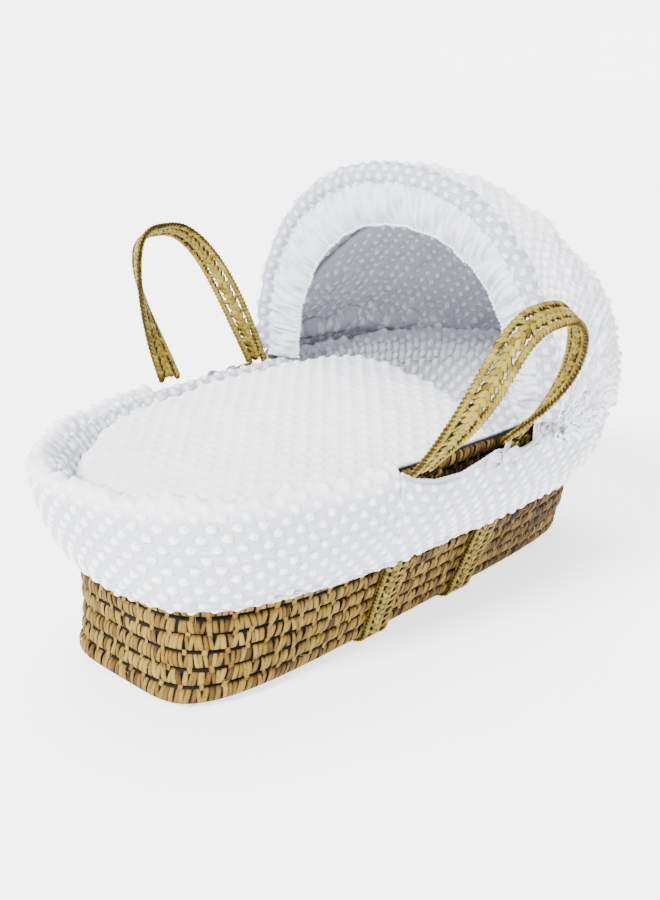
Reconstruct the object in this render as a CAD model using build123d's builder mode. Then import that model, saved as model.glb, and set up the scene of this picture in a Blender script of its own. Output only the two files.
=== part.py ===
from build123d import *
import math
import os

# Moses basket: coiled palm basket, carrying straps and handles, padded cover,
# mattress, coverlet and a hooped hood that folds back.
# Frame: X along the basket (hood end at +X), Y across, +Z up, millimetres.
# Origin: centre of the whole object's footprint, on the surface it stands on.

# ---- driving dimensions -------------------------------------------------
STRAP_THICK = 6.0          # carrying strap under the base and on the wall
STRAP_WIDTH = 42.0
BASE_Z = STRAP_THICK       # underside of the palm base
WALL_HEIGHT = 250.0        # palm wall, base to rim
ROW_COUNT = 12             # coiled rows in the wall
WALL_THICK = 11.0
HEM_HEIGHT = 119.0         # hem of the skirt above the base

# The wall's outside is a superellipse at each height, smooth through three stations:
# height above the base, half length, half width, squareness, share the head end is wider.
BASE_STATION = (0.0, 380.0, 131.5, 4.9, -0.06)
HEM_STATION = (HEM_HEIGHT, 375.0, 178.0, 3.35, 0.05)
RIM_STATION = (WALL_HEIGHT, 421.0, 225.5, 2.5, 0.01)
OUTLINE_POINTS = 24
GAP = 0.4                  # air between neighbouring soft and woven pieces

LINER_GAP = 3.5            # between the wall's inside and the padded liner
LINER_THICK = 6.0
CLOTH_THICK = 4.0          # skirt and hood cloth with its wadding
HEM_Z = BASE_Z + HEM_HEIGHT
SLOT_FOOT_X = -155.0       # the handle slots in the cover run between these
SLOT_HEAD_X = 112.0

STRAP_FOOT_X = -97.0
STRAP_HEAD_X = 72.0

MATTRESS_THICK = 40.0
COVERLET_THICK = 22.0
COVERLET_HEAD_X = 128.0
COVERLET_TOP_Z = 276.0

HINGE_X = 92.0             # hood hinge axis, parallel to Y
HINGE_Z = BASE_Z + 250.0
HOOD_CURVE = 2.25          # superellipse exponent of the hoops
MOUTH_SET_FORWARD = 10.0   # the hood's mouth stands this far ahead of the hinge axis
FRONT_RADIUS = 294.0
FRONT_HALF_WIDTH = 261.0
MID_RADIUS = 286.0
MID_HALF_WIDTH = 253.0
BACK_HALF_WIDTH = 273.0
FRONT_PANEL_END = 14.0     # degrees back from upright
MID_PANEL_END = 38.0
# Tilt back from upright and radius of the back panel, from its front edge to its hem.
BACK_STATIONS = [(36.0, 304.0), (54.0, 312.0), (72.0, 332.0), (90.0, 352.0), (107.0, 357.0)]
FRILL_OUTER = 281.0        # ruched frill in the hood's mouth
FRILL_INNER = 214.0
FRILL_OUTER_HALF = 248.0
FRILL_INNER_HALF = 190.0
PIN_RADIUS = 3.0
PIN_CLEARANCE = 0.05

HANDLE_WIDTH = 42.0
HANDLE_THICK = 8.0
HANDLE_STATIONS = 29
# Each soft handle has settled its own way: height, lean outward in degrees, half span,
# middle along X, squareness, and how far its sides bow outward.
LEFT_HANDLE = (224.0, 31.0, 79.0, -22.0, 2.8, 0.0)
RIGHT_HANDLE = (212.0, 30.0, 86.0, -47.0, 2.85, 20.0)

# Middle of the whole object's footprint, measured from the middle of the basket.
FOOTPRINT_X = 6.14
FOOTPRINT_Y = 4.62


# ---- outlines -----------------------------------------------------------
def signed_power(value, exponent):
    return math.copysign(abs(value) ** exponent, value)


def wall_size(z):
    """Half length, half width, squareness and head widening of the wall's outside at height z."""
    height = z - BASE_Z
    stations = (BASE_STATION, HEM_STATION, RIM_STATION)
    size = [0.0] * 4
    for station in stations:
        weight = 1.0
        for other in stations:
            if other is not station:
                weight *= (height - other[0]) / (station[0] - other[0])
        for i in range(4):
            size[i] += weight * station[i + 1]
    return size


def outline(half_length, half_width, squareness, widening):
    """Points of a superellipse whose head end is wider by the share widening."""
    points = []
    for i in range(OUTLINE_POINTS):
        angle = 2 * math.pi * i / OUTLINE_POINTS
        x = half_length * signed_power(math.cos(angle), 2 / squareness)
        y = half_width * signed_power(math.sin(angle), 2 / squareness)
        points.append((x, y * (1 + widening * x / half_length)))
    return points


def wall_outline(z, grow_length, grow_width=None):
    """The wall's outside at height z, moved outward; inward when negative."""
    half_length, half_width, squareness, widening = wall_size(z)
    if grow_width is None:
        grow_width = grow_length
    return outline(half_length + grow_length, half_width + grow_width, squareness, widening)


def wall_half_width_at(x, z):
    """Distance from the middle plane to the wall's outside at station x and height z."""
    half_length, half_width, squareness, widening = wall_size(z)
    share = 1 - abs(x / half_length) ** squareness
    return half_width * share ** (1 / squareness) * (1 + widening * x / half_length)


# Height of the skirt's outside, and how far it stands off the wall at the ends and sides.
SKIRT_LEVELS = [
    (HEM_Z, 6.5, 11.5),
    (BASE_Z + 142.0, 18.0, 21.0),
    (BASE_Z + 180.0, 27.0, 27.0),
    (BASE_Z + 220.0, 22.0, 21.0),
    (BASE_Z + 243.0, 13.0, 13.0),
]


def skirt_outline(level, grow):
    z, end_stand_off, side_stand_off = level
    return wall_outline(z, end_stand_off + grow, side_stand_off + grow)


def add_outline(points, z):
    """Add a closed outline at height z to the part being built."""
    with BuildSketch(Plane.XY.offset(z)) as level:
        with BuildLine():
            Spline(*points, periodic=True)
        make_face()
    add(level.sketch)


def save(part, name):
    placed = part.moved(Location((-FOOTPRINT_X, -FOOTPRINT_Y, 0)))
    placed.label = name
    export_step(placed, f"parts/{name}.step")
    print(f"{name}: {len(placed.solids())} solid(s), {placed.volume / 1000:.1f} cm3")


os.makedirs("parts", exist_ok=True)

# ---- palm basket --------------------------------------------------------
BASE_THICK = 12.0
BASE_CLEAR = 3.5           # the lowest rows lean in over the base's edge
with BuildPart() as base_mat:
    add_outline(wall_outline(BASE_Z, -WALL_THICK - BASE_CLEAR), BASE_Z)
    extrude(amount=BASE_THICK)
save(base_mat.part, "base_mat")


def wall_ring(z_low, z_high, grow_outer, grow_inner):
    """A ring that follows the flare of the palm wall between two heights."""
    with BuildPart() as ring:
        add_outline(wall_outline(z_low, grow_outer), z_low)
        add_outline(wall_outline(z_high, grow_outer), z_high)
        loft()
        add_outline(wall_outline(z_low, grow_inner), z_low)
        add_outline(wall_outline(z_high, grow_inner), z_high)
        loft(mode=Mode.SUBTRACT)
    return ring.part


ROW_HEIGHT = WALL_HEIGHT / ROW_COUNT
for row in range(ROW_COUNT):
    row_z = BASE_Z + row * ROW_HEIGHT
    row_ring = wall_ring(row_z, row_z + ROW_HEIGHT, 0.0, -WALL_THICK)
    is_top = row == ROW_COUNT - 1
    save(row_ring, "rim_braid" if is_top else f"coil_row_{row + 1:02d}")

RIM_Z = BASE_Z + WALL_HEIGHT


# ---- carrying straps ----------------------------------------------------
def strap(centre_x, name):
    """One palm strap that runs down a side, under the base and up the other side."""
    steps = 7
    inner = []
    for i in range(steps + 1):
        z = BASE_Z + (WALL_HEIGHT - 14.0) * i / steps
        edges = [wall_half_width_at(centre_x + side * STRAP_WIDTH / 2, z) for side in (-1, 1)]
        inner.append((max(edges) + GAP, z))
    outer = [(y + STRAP_THICK, z) for y, z in inner]
    half_base = inner[0][0] + STRAP_THICK
    right = [(half_base - STRAP_THICK * 0.6, 0.0)] + outer[1:] + inner[::-1]
    left = [(-y, z) for y, z in right[::-1]]
    with BuildPart() as band:
        with BuildSketch(Plane.YZ.offset(centre_x - STRAP_WIDTH / 2)):
            with BuildLine():
                Polyline(*right, *left, close=True)
            make_face()
        extrude(amount=STRAP_WIDTH)
    save(band.part, name)


strap(STRAP_FOOT_X, "strap_foot")
strap(STRAP_HEAD_X, "strap_head")

# ---- padded cover -------------------------------------------------------
LINER_LOW_Z = BASE_Z + BASE_THICK + GAP
LINER_STEPS = 3
with BuildPart() as liner_wall:
    liner_outer = -WALL_THICK - LINER_GAP
    for grow, mode in ((liner_outer, Mode.ADD), (liner_outer - LINER_THICK, Mode.SUBTRACT)):
        for i in range(LINER_STEPS + 1):
            level_z = LINER_LOW_Z + (RIM_Z - LINER_LOW_Z) * i / LINER_STEPS
            add_outline(wall_outline(level_z, grow), level_z)
        loft(mode=mode)
save(liner_wall.part, "liner_wall")


def box_between(x_low, x_high, y_low, y_high, z_low, z_high, mode=Mode.INTERSECT):
    centre = ((x_low + x_high) / 2, (y_low + y_high) / 2, (z_low + z_high) / 2)
    with Locations(centre):
        Box(x_high - x_low, y_high - y_low, z_high - z_low, mode=mode)


FAR = 600.0
ROLL_LOW_Z = RIM_Z + GAP
ROLL_TOP_Z = RIM_Z + 6.0
# How far the roll stands outside the wall's outer face at its foot and its top.
ROLL_OUTER = ((13.0, ROLL_LOW_Z), (8.0, ROLL_TOP_Z))
ROLL_INNER = ((-WALL_THICK - 12.0, ROLL_LOW_Z), (-WALL_THICK - 8.0, ROLL_TOP_Z))


def rim_roll(x_low, x_high, name):
    """Padded roll lying over the rim, on one end of the basket."""
    with BuildPart() as roll:
        for grow, level_z in ROLL_OUTER:
            add_outline(wall_outline(RIM_Z, grow), level_z)
        loft()
        for grow, level_z in ROLL_INNER:
            add_outline(wall_outline(RIM_Z, grow), level_z)
        loft(mode=Mode.SUBTRACT)
        box_between(x_low, x_high, -FAR, FAR, 0, FAR)
    save(roll.part, name)


rim_roll(-FAR, SLOT_FOOT_X, "rim_roll_foot")
rim_roll(SLOT_HEAD_X, FAR, "rim_roll_head")

SIDE_TOP_Z = SKIRT_LEVELS[-2][0] + 4.0


def skirt_panel(x_low, x_high, y_low, y_high, z_top, name):
    """Part of the outer skirt that hangs from the rim to the gathered hem."""
    with BuildPart() as panel:
        for grow, mode in ((0.0, Mode.ADD), (-CLOTH_THICK, Mode.SUBTRACT)):
            for level in SKIRT_LEVELS:
                add_outline(skirt_outline(level, grow), level[0])
            loft(mode=mode)
        box_between(x_low, x_high, y_low, y_high, 0, z_top)
    save(panel.part, name)


skirt_panel(-FAR, SLOT_FOOT_X, -FAR, FAR, FAR, "skirt_foot")
skirt_panel(SLOT_HEAD_X, FAR, -FAR, FAR, FAR, "skirt_head")
skirt_panel(SLOT_FOOT_X + GAP, SLOT_HEAD_X - GAP, 0, FAR, SIDE_TOP_Z, "skirt_side_left")
skirt_panel(SLOT_FOOT_X + GAP, SLOT_HEAD_X - GAP, -FAR, 0, SIDE_TOP_Z, "skirt_side_right")

ELASTIC_HEIGHT = 5.0
with BuildPart() as hem_elastic:
    add_outline(skirt_outline(SKIRT_LEVELS[0], 0.5), HEM_Z - ELASTIC_HEIGHT - GAP / 2)
    extrude(amount=ELASTIC_HEIGHT)
    add_outline(skirt_outline(SKIRT_LEVELS[0], 0.5 - CLOTH_THICK), HEM_Z - ELASTIC_HEIGHT - GAP / 2)
    extrude(amount=ELASTIC_HEIGHT, mode=Mode.SUBTRACT)
save(hem_elastic.part, "hem_elastic")

BINDING_HEIGHT = 4.0
BINDING_THICK = 4.0
BINDING_STAND_OFF = 19.0


def slot_binding(y_low, y_high, name):
    """Bound upper edge of a side panel, along the handle slot."""
    with BuildPart() as binding:
        add_outline(wall_outline(SIDE_TOP_Z, BINDING_STAND_OFF), SIDE_TOP_Z + GAP)
        extrude(amount=BINDING_HEIGHT)
        add_outline(wall_outline(SIDE_TOP_Z, BINDING_STAND_OFF - BINDING_THICK), SIDE_TOP_Z + GAP)
        extrude(amount=BINDING_HEIGHT, mode=Mode.SUBTRACT)
        box_between(SLOT_FOOT_X + 2, SLOT_HEAD_X - 2, y_low, y_high, 0, FAR)
    save(binding.part, name)


slot_binding(0, FAR, "slot_binding_left")
slot_binding(-FAR, 0, "slot_binding_right")

BOW_X = 5.0
BOW_STAND_OFF = 29.5
KNOT_SIZE = (15.0, 10.0, 13.0)
TAIL_SIZE = (30.0, 3.0, 9.0)


def tie_bow(side, name):
    """Knotted cloth tie that closes the slot between the two handle feet."""
    centre_y = side * (wall_half_width_at(BOW_X, SIDE_TOP_Z) + BOW_STAND_OFF)
    with BuildPart() as bow:
        with Locations((BOW_X, centre_y, SIDE_TOP_Z + 3.0)):
            Box(*KNOT_SIZE)
        fillet(bow.edges(), 3.5)
        for end in (-1, 1):
            with Locations(Location((BOW_X + end * 17.0, centre_y, SIDE_TOP_Z - 1.0), (0, end * 24.0, 0))):
                Box(*TAIL_SIZE)
    save(bow.part, name)


tie_bow(1, "tie_bow_left")
tie_bow(-1, "tie_bow_right")

# ---- mattress -----------------------------------------------------------
MATTRESS_LOW_Z = LINER_LOW_Z
MATTRESS_TOP_Z = MATTRESS_LOW_Z + MATTRESS_THICK
MATTRESS_INSET = 24.0
MATTRESS_LOW_SIZE = wall_size(MATTRESS_LOW_Z)
MATTRESS_TOP_SIZE = wall_size(MATTRESS_TOP_Z)
mattress_length, mattress_width, mattress_squareness = [
    min(low, top) for low, top in zip(MATTRESS_LOW_SIZE[:3], MATTRESS_TOP_SIZE[:3])
]
with BuildPart() as mattress:
    mattress_outline = outline(mattress_length - MATTRESS_INSET, mattress_width - MATTRESS_INSET,
                               mattress_squareness, MATTRESS_LOW_SIZE[3])
    add_outline(mattress_outline, MATTRESS_LOW_Z)
    extrude(amount=MATTRESS_THICK)
    fillet(mattress.edges().group_by(Axis.Z)[-1], 9)
save(mattress.part, "mattress")

# ---- coverlet -----------------------------------------------------------
COVERLET_LOW_Z = MATTRESS_TOP_Z + 1.0
COVERLET_SHOULDER_Z = 214.0
COVERLET_INSET = 24.0


def coverlet_block(inset, top_z, head_x):
    """Domed block inside the liner: flared outline, arched across and along."""
    with BuildPart() as block:
        for level_z in (COVERLET_LOW_Z, 130.0, COVERLET_SHOULDER_Z, COVERLET_TOP_Z + 10.0):
            size_z = min(level_z, COVERLET_SHOULDER_Z)
            add_outline(wall_outline(size_z, -COVERLET_INSET - inset), level_z)
        loft()
        half_width = wall_size(COVERLET_SHOULDER_Z)[1]
        with BuildSketch(Plane.YZ.offset(-FAR)):
            with BuildLine():
                Polyline((half_width, COVERLET_SHOULDER_Z - inset), (half_width, 0), (-half_width, 0),
                         (-half_width, COVERLET_SHOULDER_Z - inset))
                ThreePointArc((-half_width, COVERLET_SHOULDER_Z - inset), (0, top_z),
                              (half_width, COVERLET_SHOULDER_Z - inset))
            make_face()
        extrude(amount=2 * FAR, mode=Mode.INTERSECT)
        with BuildSketch(Plane.XZ.offset(-FAR)):
            with BuildLine():
                foot_x = -wall_size(COVERLET_SHOULDER_Z)[0]
                Polyline((foot_x, COVERLET_SHOULDER_Z - 8 - inset), (foot_x, 0), (head_x, 0),
                         (head_x, top_z - 4))
                Spline((head_x, top_z - 4), (-60, top_z), (-230, top_z - 16),
                       (foot_x, COVERLET_SHOULDER_Z - 8 - inset))
            make_face()
        extrude(amount=2 * FAR, mode=Mode.INTERSECT)
    return block.part


HEAD_SIDE_X = 60.0
HEAD_HALF_WIDTH = 166.0
coverlet_outer = coverlet_block(0.0, COVERLET_TOP_Z, COVERLET_HEAD_X)
coverlet_inner = coverlet_block(COVERLET_THICK, COVERLET_TOP_Z - COVERLET_THICK, COVERLET_HEAD_X + 5.0)
with BuildPart() as coverlet:
    add(coverlet_outer)
    add(coverlet_inner, mode=Mode.SUBTRACT)
    box_between(HEAD_SIDE_X, FAR, HEAD_HALF_WIDTH, FAR, 0, FAR, Mode.SUBTRACT)
    box_between(HEAD_SIDE_X, FAR, -FAR, -HEAD_HALF_WIDTH, 0, FAR, Mode.SUBTRACT)
save(coverlet.part, "coverlet")


# ---- hood ---------------------------------------------------------------
def hood_plane(tilt):
    """Plane through the hinge axis, tilted back from upright: local x is Y, local y is up."""
    angle = math.radians(tilt)
    normal = (math.cos(angle), 0, -math.sin(angle))
    return Plane(origin=(HINGE_X, 0, HINGE_Z), x_dir=(0, 1, 0), z_dir=normal)


HOOD_POINTS = 25


def arch(radius, half_width, low):
    """Points of an arch from one side to the other, starting at height low above the hinge."""
    start = math.asin((low / radius) ** (HOOD_CURVE / 2))
    points = []
    for i in range(HOOD_POINTS):
        angle = start + (math.pi - 2 * start) * i / (HOOD_POINTS - 1)
        along = half_width * signed_power(math.cos(angle), 2 / HOOD_CURVE)
        points.append((along, radius * math.sin(angle) ** (2 / HOOD_CURVE)))
    return points


def arch_face(plane, outer, inner):
    """Sketch of a band between two arches, open at the bottom."""
    with BuildSketch(plane) as band:
        with BuildLine():
            Spline(*outer)
            Line(outer[-1], inner[-1])
            Spline(*inner)
            Line(inner[0], outer[0])
        make_face()
    return band.sketch


def thin_arch_face(plane, radius, half_width, thickness, low):
    outer = arch(radius, half_width, low)
    return arch_face(plane, outer, arch(radius - thickness, half_width - thickness, low))


HINGE_AXIS = Axis((HINGE_X, 0, HINGE_Z), (0, 1, 0))


def hood_shell(radius, half_width, start, end, low, name, clear_x=None, thickness=CLOTH_THICK):
    """Cloth panel swept about the hinge axis between two tilts."""
    with BuildPart() as shell:
        profile = thin_arch_face(hood_plane(start), radius, half_width, thickness, low)
        revolve(profile, axis=HINGE_AXIS, revolution_arc=end - start)
        if clear_x is not None:
            box_between(clear_x, FAR, -FAR, FAR, 0, FAR)
    save(shell.part, name)


HOOP_WIDE = 6.0
HOOP_DEEP = 4.0
EYE_RADIUS = 8.0
EYE_THICK = 3.0


def hood_hoop(radius, half_width, tilt, eye_y, name):
    """Flat sprung hoop with an eye at each end that turns on the hinge pin."""
    plane = hood_plane(tilt)
    with BuildPart() as hoop:
        extrude(thin_arch_face(plane.offset(-HOOP_WIDE / 2), radius, half_width, HOOP_DEEP, 12.0),
                amount=HOOP_WIDE)
        for side in (-1, 1):
            foot_x = side * (half_width - HOOP_DEEP)
            eye_x = side * (eye_y + EYE_THICK / 2)
            low, high = sorted((eye_x - side * EYE_THICK / 2, foot_x + side * HOOP_DEEP))
            with BuildSketch(plane.offset(-HOOP_WIDE / 2)):
                with Locations(((low + high) / 2, 12.0)):
                    Rectangle(high - low, HOOP_DEEP)
                with Locations((eye_x, 9.0)):
                    Rectangle(EYE_THICK, 10.0)
            extrude(amount=HOOP_WIDE)
            with BuildSketch(Plane.XZ.offset(-(eye_x - EYE_THICK / 2))):
                with Locations((HINGE_X, HINGE_Z)):
                    Circle(EYE_RADIUS)
            extrude(amount=-EYE_THICK)
        with BuildSketch(Plane.XZ.offset(-FAR / 2)):
            with Locations((HINGE_X, HINGE_Z)):
                Circle(PIN_RADIUS + PIN_CLEARANCE)
        extrude(amount=FAR, mode=Mode.SUBTRACT)
    save(hoop.part, name)


FRONT_EYE_Y = 240.2
MID_EYE_Y = 245.0
FRONT_HOOP_INSET = 17.6
hood_hoop(FRONT_RADIUS - FRONT_HOOP_INSET, FRONT_HALF_WIDTH - FRONT_HOOP_INSET, 0.0, FRONT_EYE_Y,
          "hood_hoop_front")
hood_hoop(MID_RADIUS - CLOTH_THICK - 1.0, MID_HALF_WIDTH - CLOTH_THICK - 1.0, MID_PANEL_END - 2.0, MID_EYE_Y,
          "hood_hoop_mid")
hood_shell(FRONT_RADIUS, FRONT_HALF_WIDTH, 0.5, FRONT_PANEL_END, 24.0, "hood_panel_front")
hood_shell(MID_RADIUS, MID_HALF_WIDTH, FRONT_PANEL_END - 2.0, MID_PANEL_END, 34.0, "hood_panel_mid")

BACK_LOW = 60.0
with BuildPart() as hood_back:
    for back_tilt, back_radius in BACK_STATIONS:
        add(thin_arch_face(hood_plane(back_tilt), back_radius, BACK_HALF_WIDTH, CLOTH_THICK, BACK_LOW))
    loft()
    box_between(SLOT_HEAD_X - 2.0, FAR, -FAR, FAR, 0, FAR)
save(hood_back.part, "hood_back")

hood_shell(BACK_STATIONS[-1][1] - 0.5, BACK_HALF_WIDTH - 0.5, BACK_STATIONS[-1][0] + 0.1,
           BACK_STATIONS[-1][0] + 0.9, BACK_LOW, "hood_back_elastic", SLOT_HEAD_X + 30.0, 3.0)

FRILL_THICK = 5.0
FRILL_SET_BACK = 1.5
frill_plane = hood_plane(0).offset(-MOUTH_SET_FORWARD + FRILL_SET_BACK)
with BuildPart() as hood_frill:
    frill_outer = arch(FRILL_OUTER, FRILL_OUTER_HALF, 16.0)
    frill_inner = arch(FRILL_INNER, FRILL_INNER_HALF, 16.0)
    extrude(arch_face(frill_plane, frill_outer, frill_inner), amount=FRILL_THICK)
save(hood_frill.part, "hood_frill")

with BuildPart() as frill_elastic:
    extrude(thin_arch_face(frill_plane, FRILL_INNER - GAP, FRILL_INNER_HALF - GAP, 3.0, 16.0), amount=3.0)
save(frill_elastic.part, "frill_elastic")

BAND_WIDTH = 7.0           # clears the mid panel when the hood folds back
with BuildPart() as hood_band:
    band_outer = arch(FRONT_RADIUS, FRONT_HALF_WIDTH, 18.0)
    band_inner = arch(FRONT_RADIUS - BAND_WIDTH, FRONT_HALF_WIDTH - BAND_WIDTH, 18.0)
    band_plane = hood_plane(0).offset(-MOUTH_SET_FORWARD)
    extrude(arch_face(band_plane, band_outer, band_inner), amount=MOUTH_SET_FORWARD - HOOP_WIDE / 2 - GAP)
save(hood_band.part, "hood_front_band")

TAB_Y = 236.0
TAB_THICK = 3.0
PIN_END_Y = 252.0
with BuildPart() as hinge_tabs:
    for side in (-1, 1):
        with BuildSketch(Plane.XZ.offset(-side * (TAB_Y + TAB_THICK / 2))):
            with Locations((HINGE_X, HINGE_Z - 7.0)):
                RectangleRounded(22.0, 28.0, 7.0)
        extrude(amount=TAB_THICK / 2, both=True)
save(hinge_tabs.part, "hood_hinge_tabs")

with BuildPart() as hinge_pins:
    for side in (-1, 1):
        low, high = sorted((side * (TAB_Y + TAB_THICK), side * PIN_END_Y))
        with BuildSketch(Plane.XZ.offset(-low)):
            with Locations((HINGE_X, HINGE_Z)):
                Circle(PIN_RADIUS)
        extrude(amount=-(high - low))
save(hinge_pins.part, "hood_hinge_pins")

# ---- handles ------------------------------------------------------------
HANDLE_LOW_Z = BASE_Z + WALL_HEIGHT - 6.0


def handle(side, settled, name):
    """Woven loop: flat against the wall at its feet, turned across at its top."""
    height, lean_degrees, half_span, centre_x, curve, bow = settled
    lean = math.radians(lean_degrees)
    out = Vector(0, side * math.sin(lean), math.cos(lean))
    across = Vector(0, side * math.cos(lean), -math.sin(lean))
    foot_y = max(wall_half_width_at(x, RIM_Z) for x in (STRAP_FOOT_X, STRAP_HEAD_X))
    foot = Vector(centre_x, side * (foot_y + GAP + HANDLE_THICK / 2 + 2.0), HANDLE_LOW_Z)

    def point(angle):
        x = half_span * signed_power(math.cos(angle), 2 / curve)
        rise = height * abs(math.sin(angle)) ** (2 / curve)
        return foot + Vector(x, side * bow * math.sin(math.pi * rise / height), 0) + out * rise

    with BuildPart() as loop:
        for i in range(HANDLE_STATIONS):
            share = i / (HANDLE_STATIONS - 1)
            angle = math.pi * share
            step = 0.004
            ahead = point(min(angle + step, math.pi))
            behind = point(max(angle - step, 0.0))
            tangent = (ahead - behind).normalized()
            in_plane = across.cross(tangent).normalized()
            turn = math.pi / 2 * math.sin(math.pi * share) ** 1.5
            width_dir = in_plane * math.cos(turn) + across * math.sin(turn)
            if share > 0.5:
                width_dir = in_plane * -math.cos(turn) + across * math.sin(turn)
            with BuildSketch(Plane(origin=point(angle), x_dir=width_dir, z_dir=tangent)):
                Rectangle(HANDLE_WIDTH, HANDLE_THICK)
        loft(ruled=True)
    save(loop.part, name)


handle(1, LEFT_HANDLE, "handle_left")
handle(-1, RIGHT_HANDLE, "handle_right")
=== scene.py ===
import math

import bpy
import numpy as np
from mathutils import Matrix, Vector


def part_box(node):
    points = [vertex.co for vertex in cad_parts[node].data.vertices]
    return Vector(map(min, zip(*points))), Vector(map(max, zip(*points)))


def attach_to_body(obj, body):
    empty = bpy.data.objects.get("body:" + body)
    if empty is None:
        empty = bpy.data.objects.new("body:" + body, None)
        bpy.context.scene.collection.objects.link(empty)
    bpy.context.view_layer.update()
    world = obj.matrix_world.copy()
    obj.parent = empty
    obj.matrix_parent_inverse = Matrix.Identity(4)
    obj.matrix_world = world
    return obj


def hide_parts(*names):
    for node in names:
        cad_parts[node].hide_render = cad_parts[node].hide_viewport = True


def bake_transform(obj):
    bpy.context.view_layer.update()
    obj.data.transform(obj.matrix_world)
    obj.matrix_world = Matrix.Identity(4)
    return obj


# Looks of the moses basket: wrapped palm rows, plaited straps and handles, raised-dot
# cover, coverlet, mattress and hood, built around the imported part. All in metres.

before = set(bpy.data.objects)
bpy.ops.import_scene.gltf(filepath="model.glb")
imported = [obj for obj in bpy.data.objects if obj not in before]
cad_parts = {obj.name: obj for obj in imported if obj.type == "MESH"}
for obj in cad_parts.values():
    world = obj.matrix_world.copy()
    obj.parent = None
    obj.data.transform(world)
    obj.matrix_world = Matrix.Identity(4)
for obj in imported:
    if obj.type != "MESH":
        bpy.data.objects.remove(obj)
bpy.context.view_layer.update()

# ---- where things are ----------------------------------------------------
STRAP_FOOT_X, STRAP_HEAD_X = -0.097, 0.072
strap_low, strap_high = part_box("strap_foot")
MID_X = (strap_low.x + strap_high.x) / 2 - STRAP_FOOT_X     # middle of the basket in the frame
MID_Y = (strap_low.y + strap_high.y) / 2
BASE_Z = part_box("coil_row_01")[0].z
RIM_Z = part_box("rim_braid")[1].z
WALL_HEIGHT = RIM_Z - BASE_Z
WALL_THICK = 0.011
ROW_COUNT = 12
ROW_HEIGHT = WALL_HEIGHT / ROW_COUNT
HEM_Z = BASE_Z + 0.1235
SLOT_FOOT_X, SLOT_HEAD_X = -0.155, 0.112
HINGE_X, HINGE_Z = 0.092, RIM_Z
HOOD_CURVE = 2.25

# Height, half length, half width, squareness and head widening of the wall's outside.
STATIONS = (
    (0.0, 0.380, 0.1315, 4.9, -0.06),
    (0.119, 0.375, 0.178, 3.35, 0.05),
    (0.250, 0.421, 0.2255, 2.5, 0.01),
)


def wall_size(z):
    height = min(max(z - BASE_Z, -0.01), WALL_HEIGHT)
    size = [0.0] * 4
    for station in STATIONS:
        weight = 1.0
        for other in STATIONS:
            if other is not station:
                weight *= (height - other[0]) / (station[0] - other[0])
        for i in range(4):
            size[i] += weight * station[i + 1]
    return size


TURN = 2 * math.pi
MIDDLE = np.array([MID_X, MID_Y, 0.0])


def signed_power(value, exponent):
    return np.sign(value) * np.abs(value) ** exponent


def unit(vectors):
    return vectors / np.linalg.norm(vectors, axis=-1, keepdims=True)


# The wall's outline at many heights, each point the same share of the way round.
RING_COUNT, RING_DETAIL = 1440, 6001
LEVEL_STEP = 0.003
LEVELS = np.arange(BASE_Z - 0.006, RIM_Z + LEVEL_STEP, LEVEL_STEP)


def ring(z):
    """Points round the wall at height z, and their whole length."""
    half_length, half_width, squareness, widening = wall_size(z)
    angle = np.linspace(0, TURN, RING_DETAIL)
    x = half_length * signed_power(np.cos(angle), 2 / squareness)
    y = half_width * signed_power(np.sin(angle), 2 / squareness) * (1 + widening * x / half_length)
    along = np.concatenate([[0], np.cumsum(np.hypot(np.diff(x), np.diff(y)))])
    share = np.linspace(0, along[-1], RING_COUNT + 1)
    return np.stack([np.interp(share, along, x), np.interp(share, along, y)], 1), along[-1]


rings = [ring(z) for z in LEVELS]
ring_table = np.array([points for points, _ in rings])
PERIMETER = np.array([length for _, length in rings])


def wall(s, z, off):
    """Points off metres outside the wall, a share s round it from the head end, at height z."""
    s, z, off = np.broadcast_arrays(s, z, off)
    u = (s % 1.0) * RING_COUNT
    i = np.floor(u).astype(int) % RING_COUNT
    fu = (u - np.floor(u))[..., None]
    v = np.clip((z - LEVELS[0]) / LEVEL_STEP, 0, len(LEVELS) - 1.001)
    j = np.floor(v).astype(int)
    fv = (v - j)[..., None]

    def at(k):
        low = ring_table[j, (i + k) % RING_COUNT]
        high = ring_table[j + 1, (i + k) % RING_COUNT]
        return low * (1 - fv) + high * fv

    point = at(0) * (1 - fu) + at(1) * fu
    tangent = unit(at(5) - at(-4))
    normal = np.stack([tangent[..., 1], -tangent[..., 0]], -1)
    return np.concatenate([point + normal * off[..., None], z[..., None]], -1)


def share_at(x, side):
    """Share of the way round where the rim crosses x on one side."""
    rim = ring_table[-1]
    count = RING_COUNT // 2
    index = np.arange(count) if side > 0 else RING_COUNT - 1 - np.arange(count)
    return index[np.argmin(np.abs(rim[index, 0] - x))] / RING_COUNT


S_FOOT = share_at(SLOT_FOOT_X, 1)
S_HEAD = share_at(SLOT_HEAD_X, 1)


# ---- mesh helpers --------------------------------------------------------
def waves(u, v, wavelength, seed, count=9):
    """Smooth seeded ripples over a surface, mostly between -1 and 1."""
    rng = np.random.default_rng(seed)
    total = 0.0
    for _ in range(count):
        turn = rng.uniform(0, TURN)
        pitch = TURN / (wavelength * rng.uniform(0.7, 1.6))
        total = total + np.sin(pitch * (math.cos(turn) * u + math.sin(turn) * v) + rng.uniform(0, TURN))
    return total / math.sqrt(count)


def ripples(point, wavelength, seed, count=9):
    """The same in three directions, for surfaces that close on themselves."""
    rng = np.random.default_rng(seed)
    total = 0.0
    for _ in range(count):
        way = rng.normal(size=3)
        way *= TURN / (np.linalg.norm(way) * wavelength * rng.uniform(0.5, 1.1))
        total = total + np.sin((point * way).sum(-1) + rng.uniform(0, TURN))
    return total / math.sqrt(count)


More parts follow.
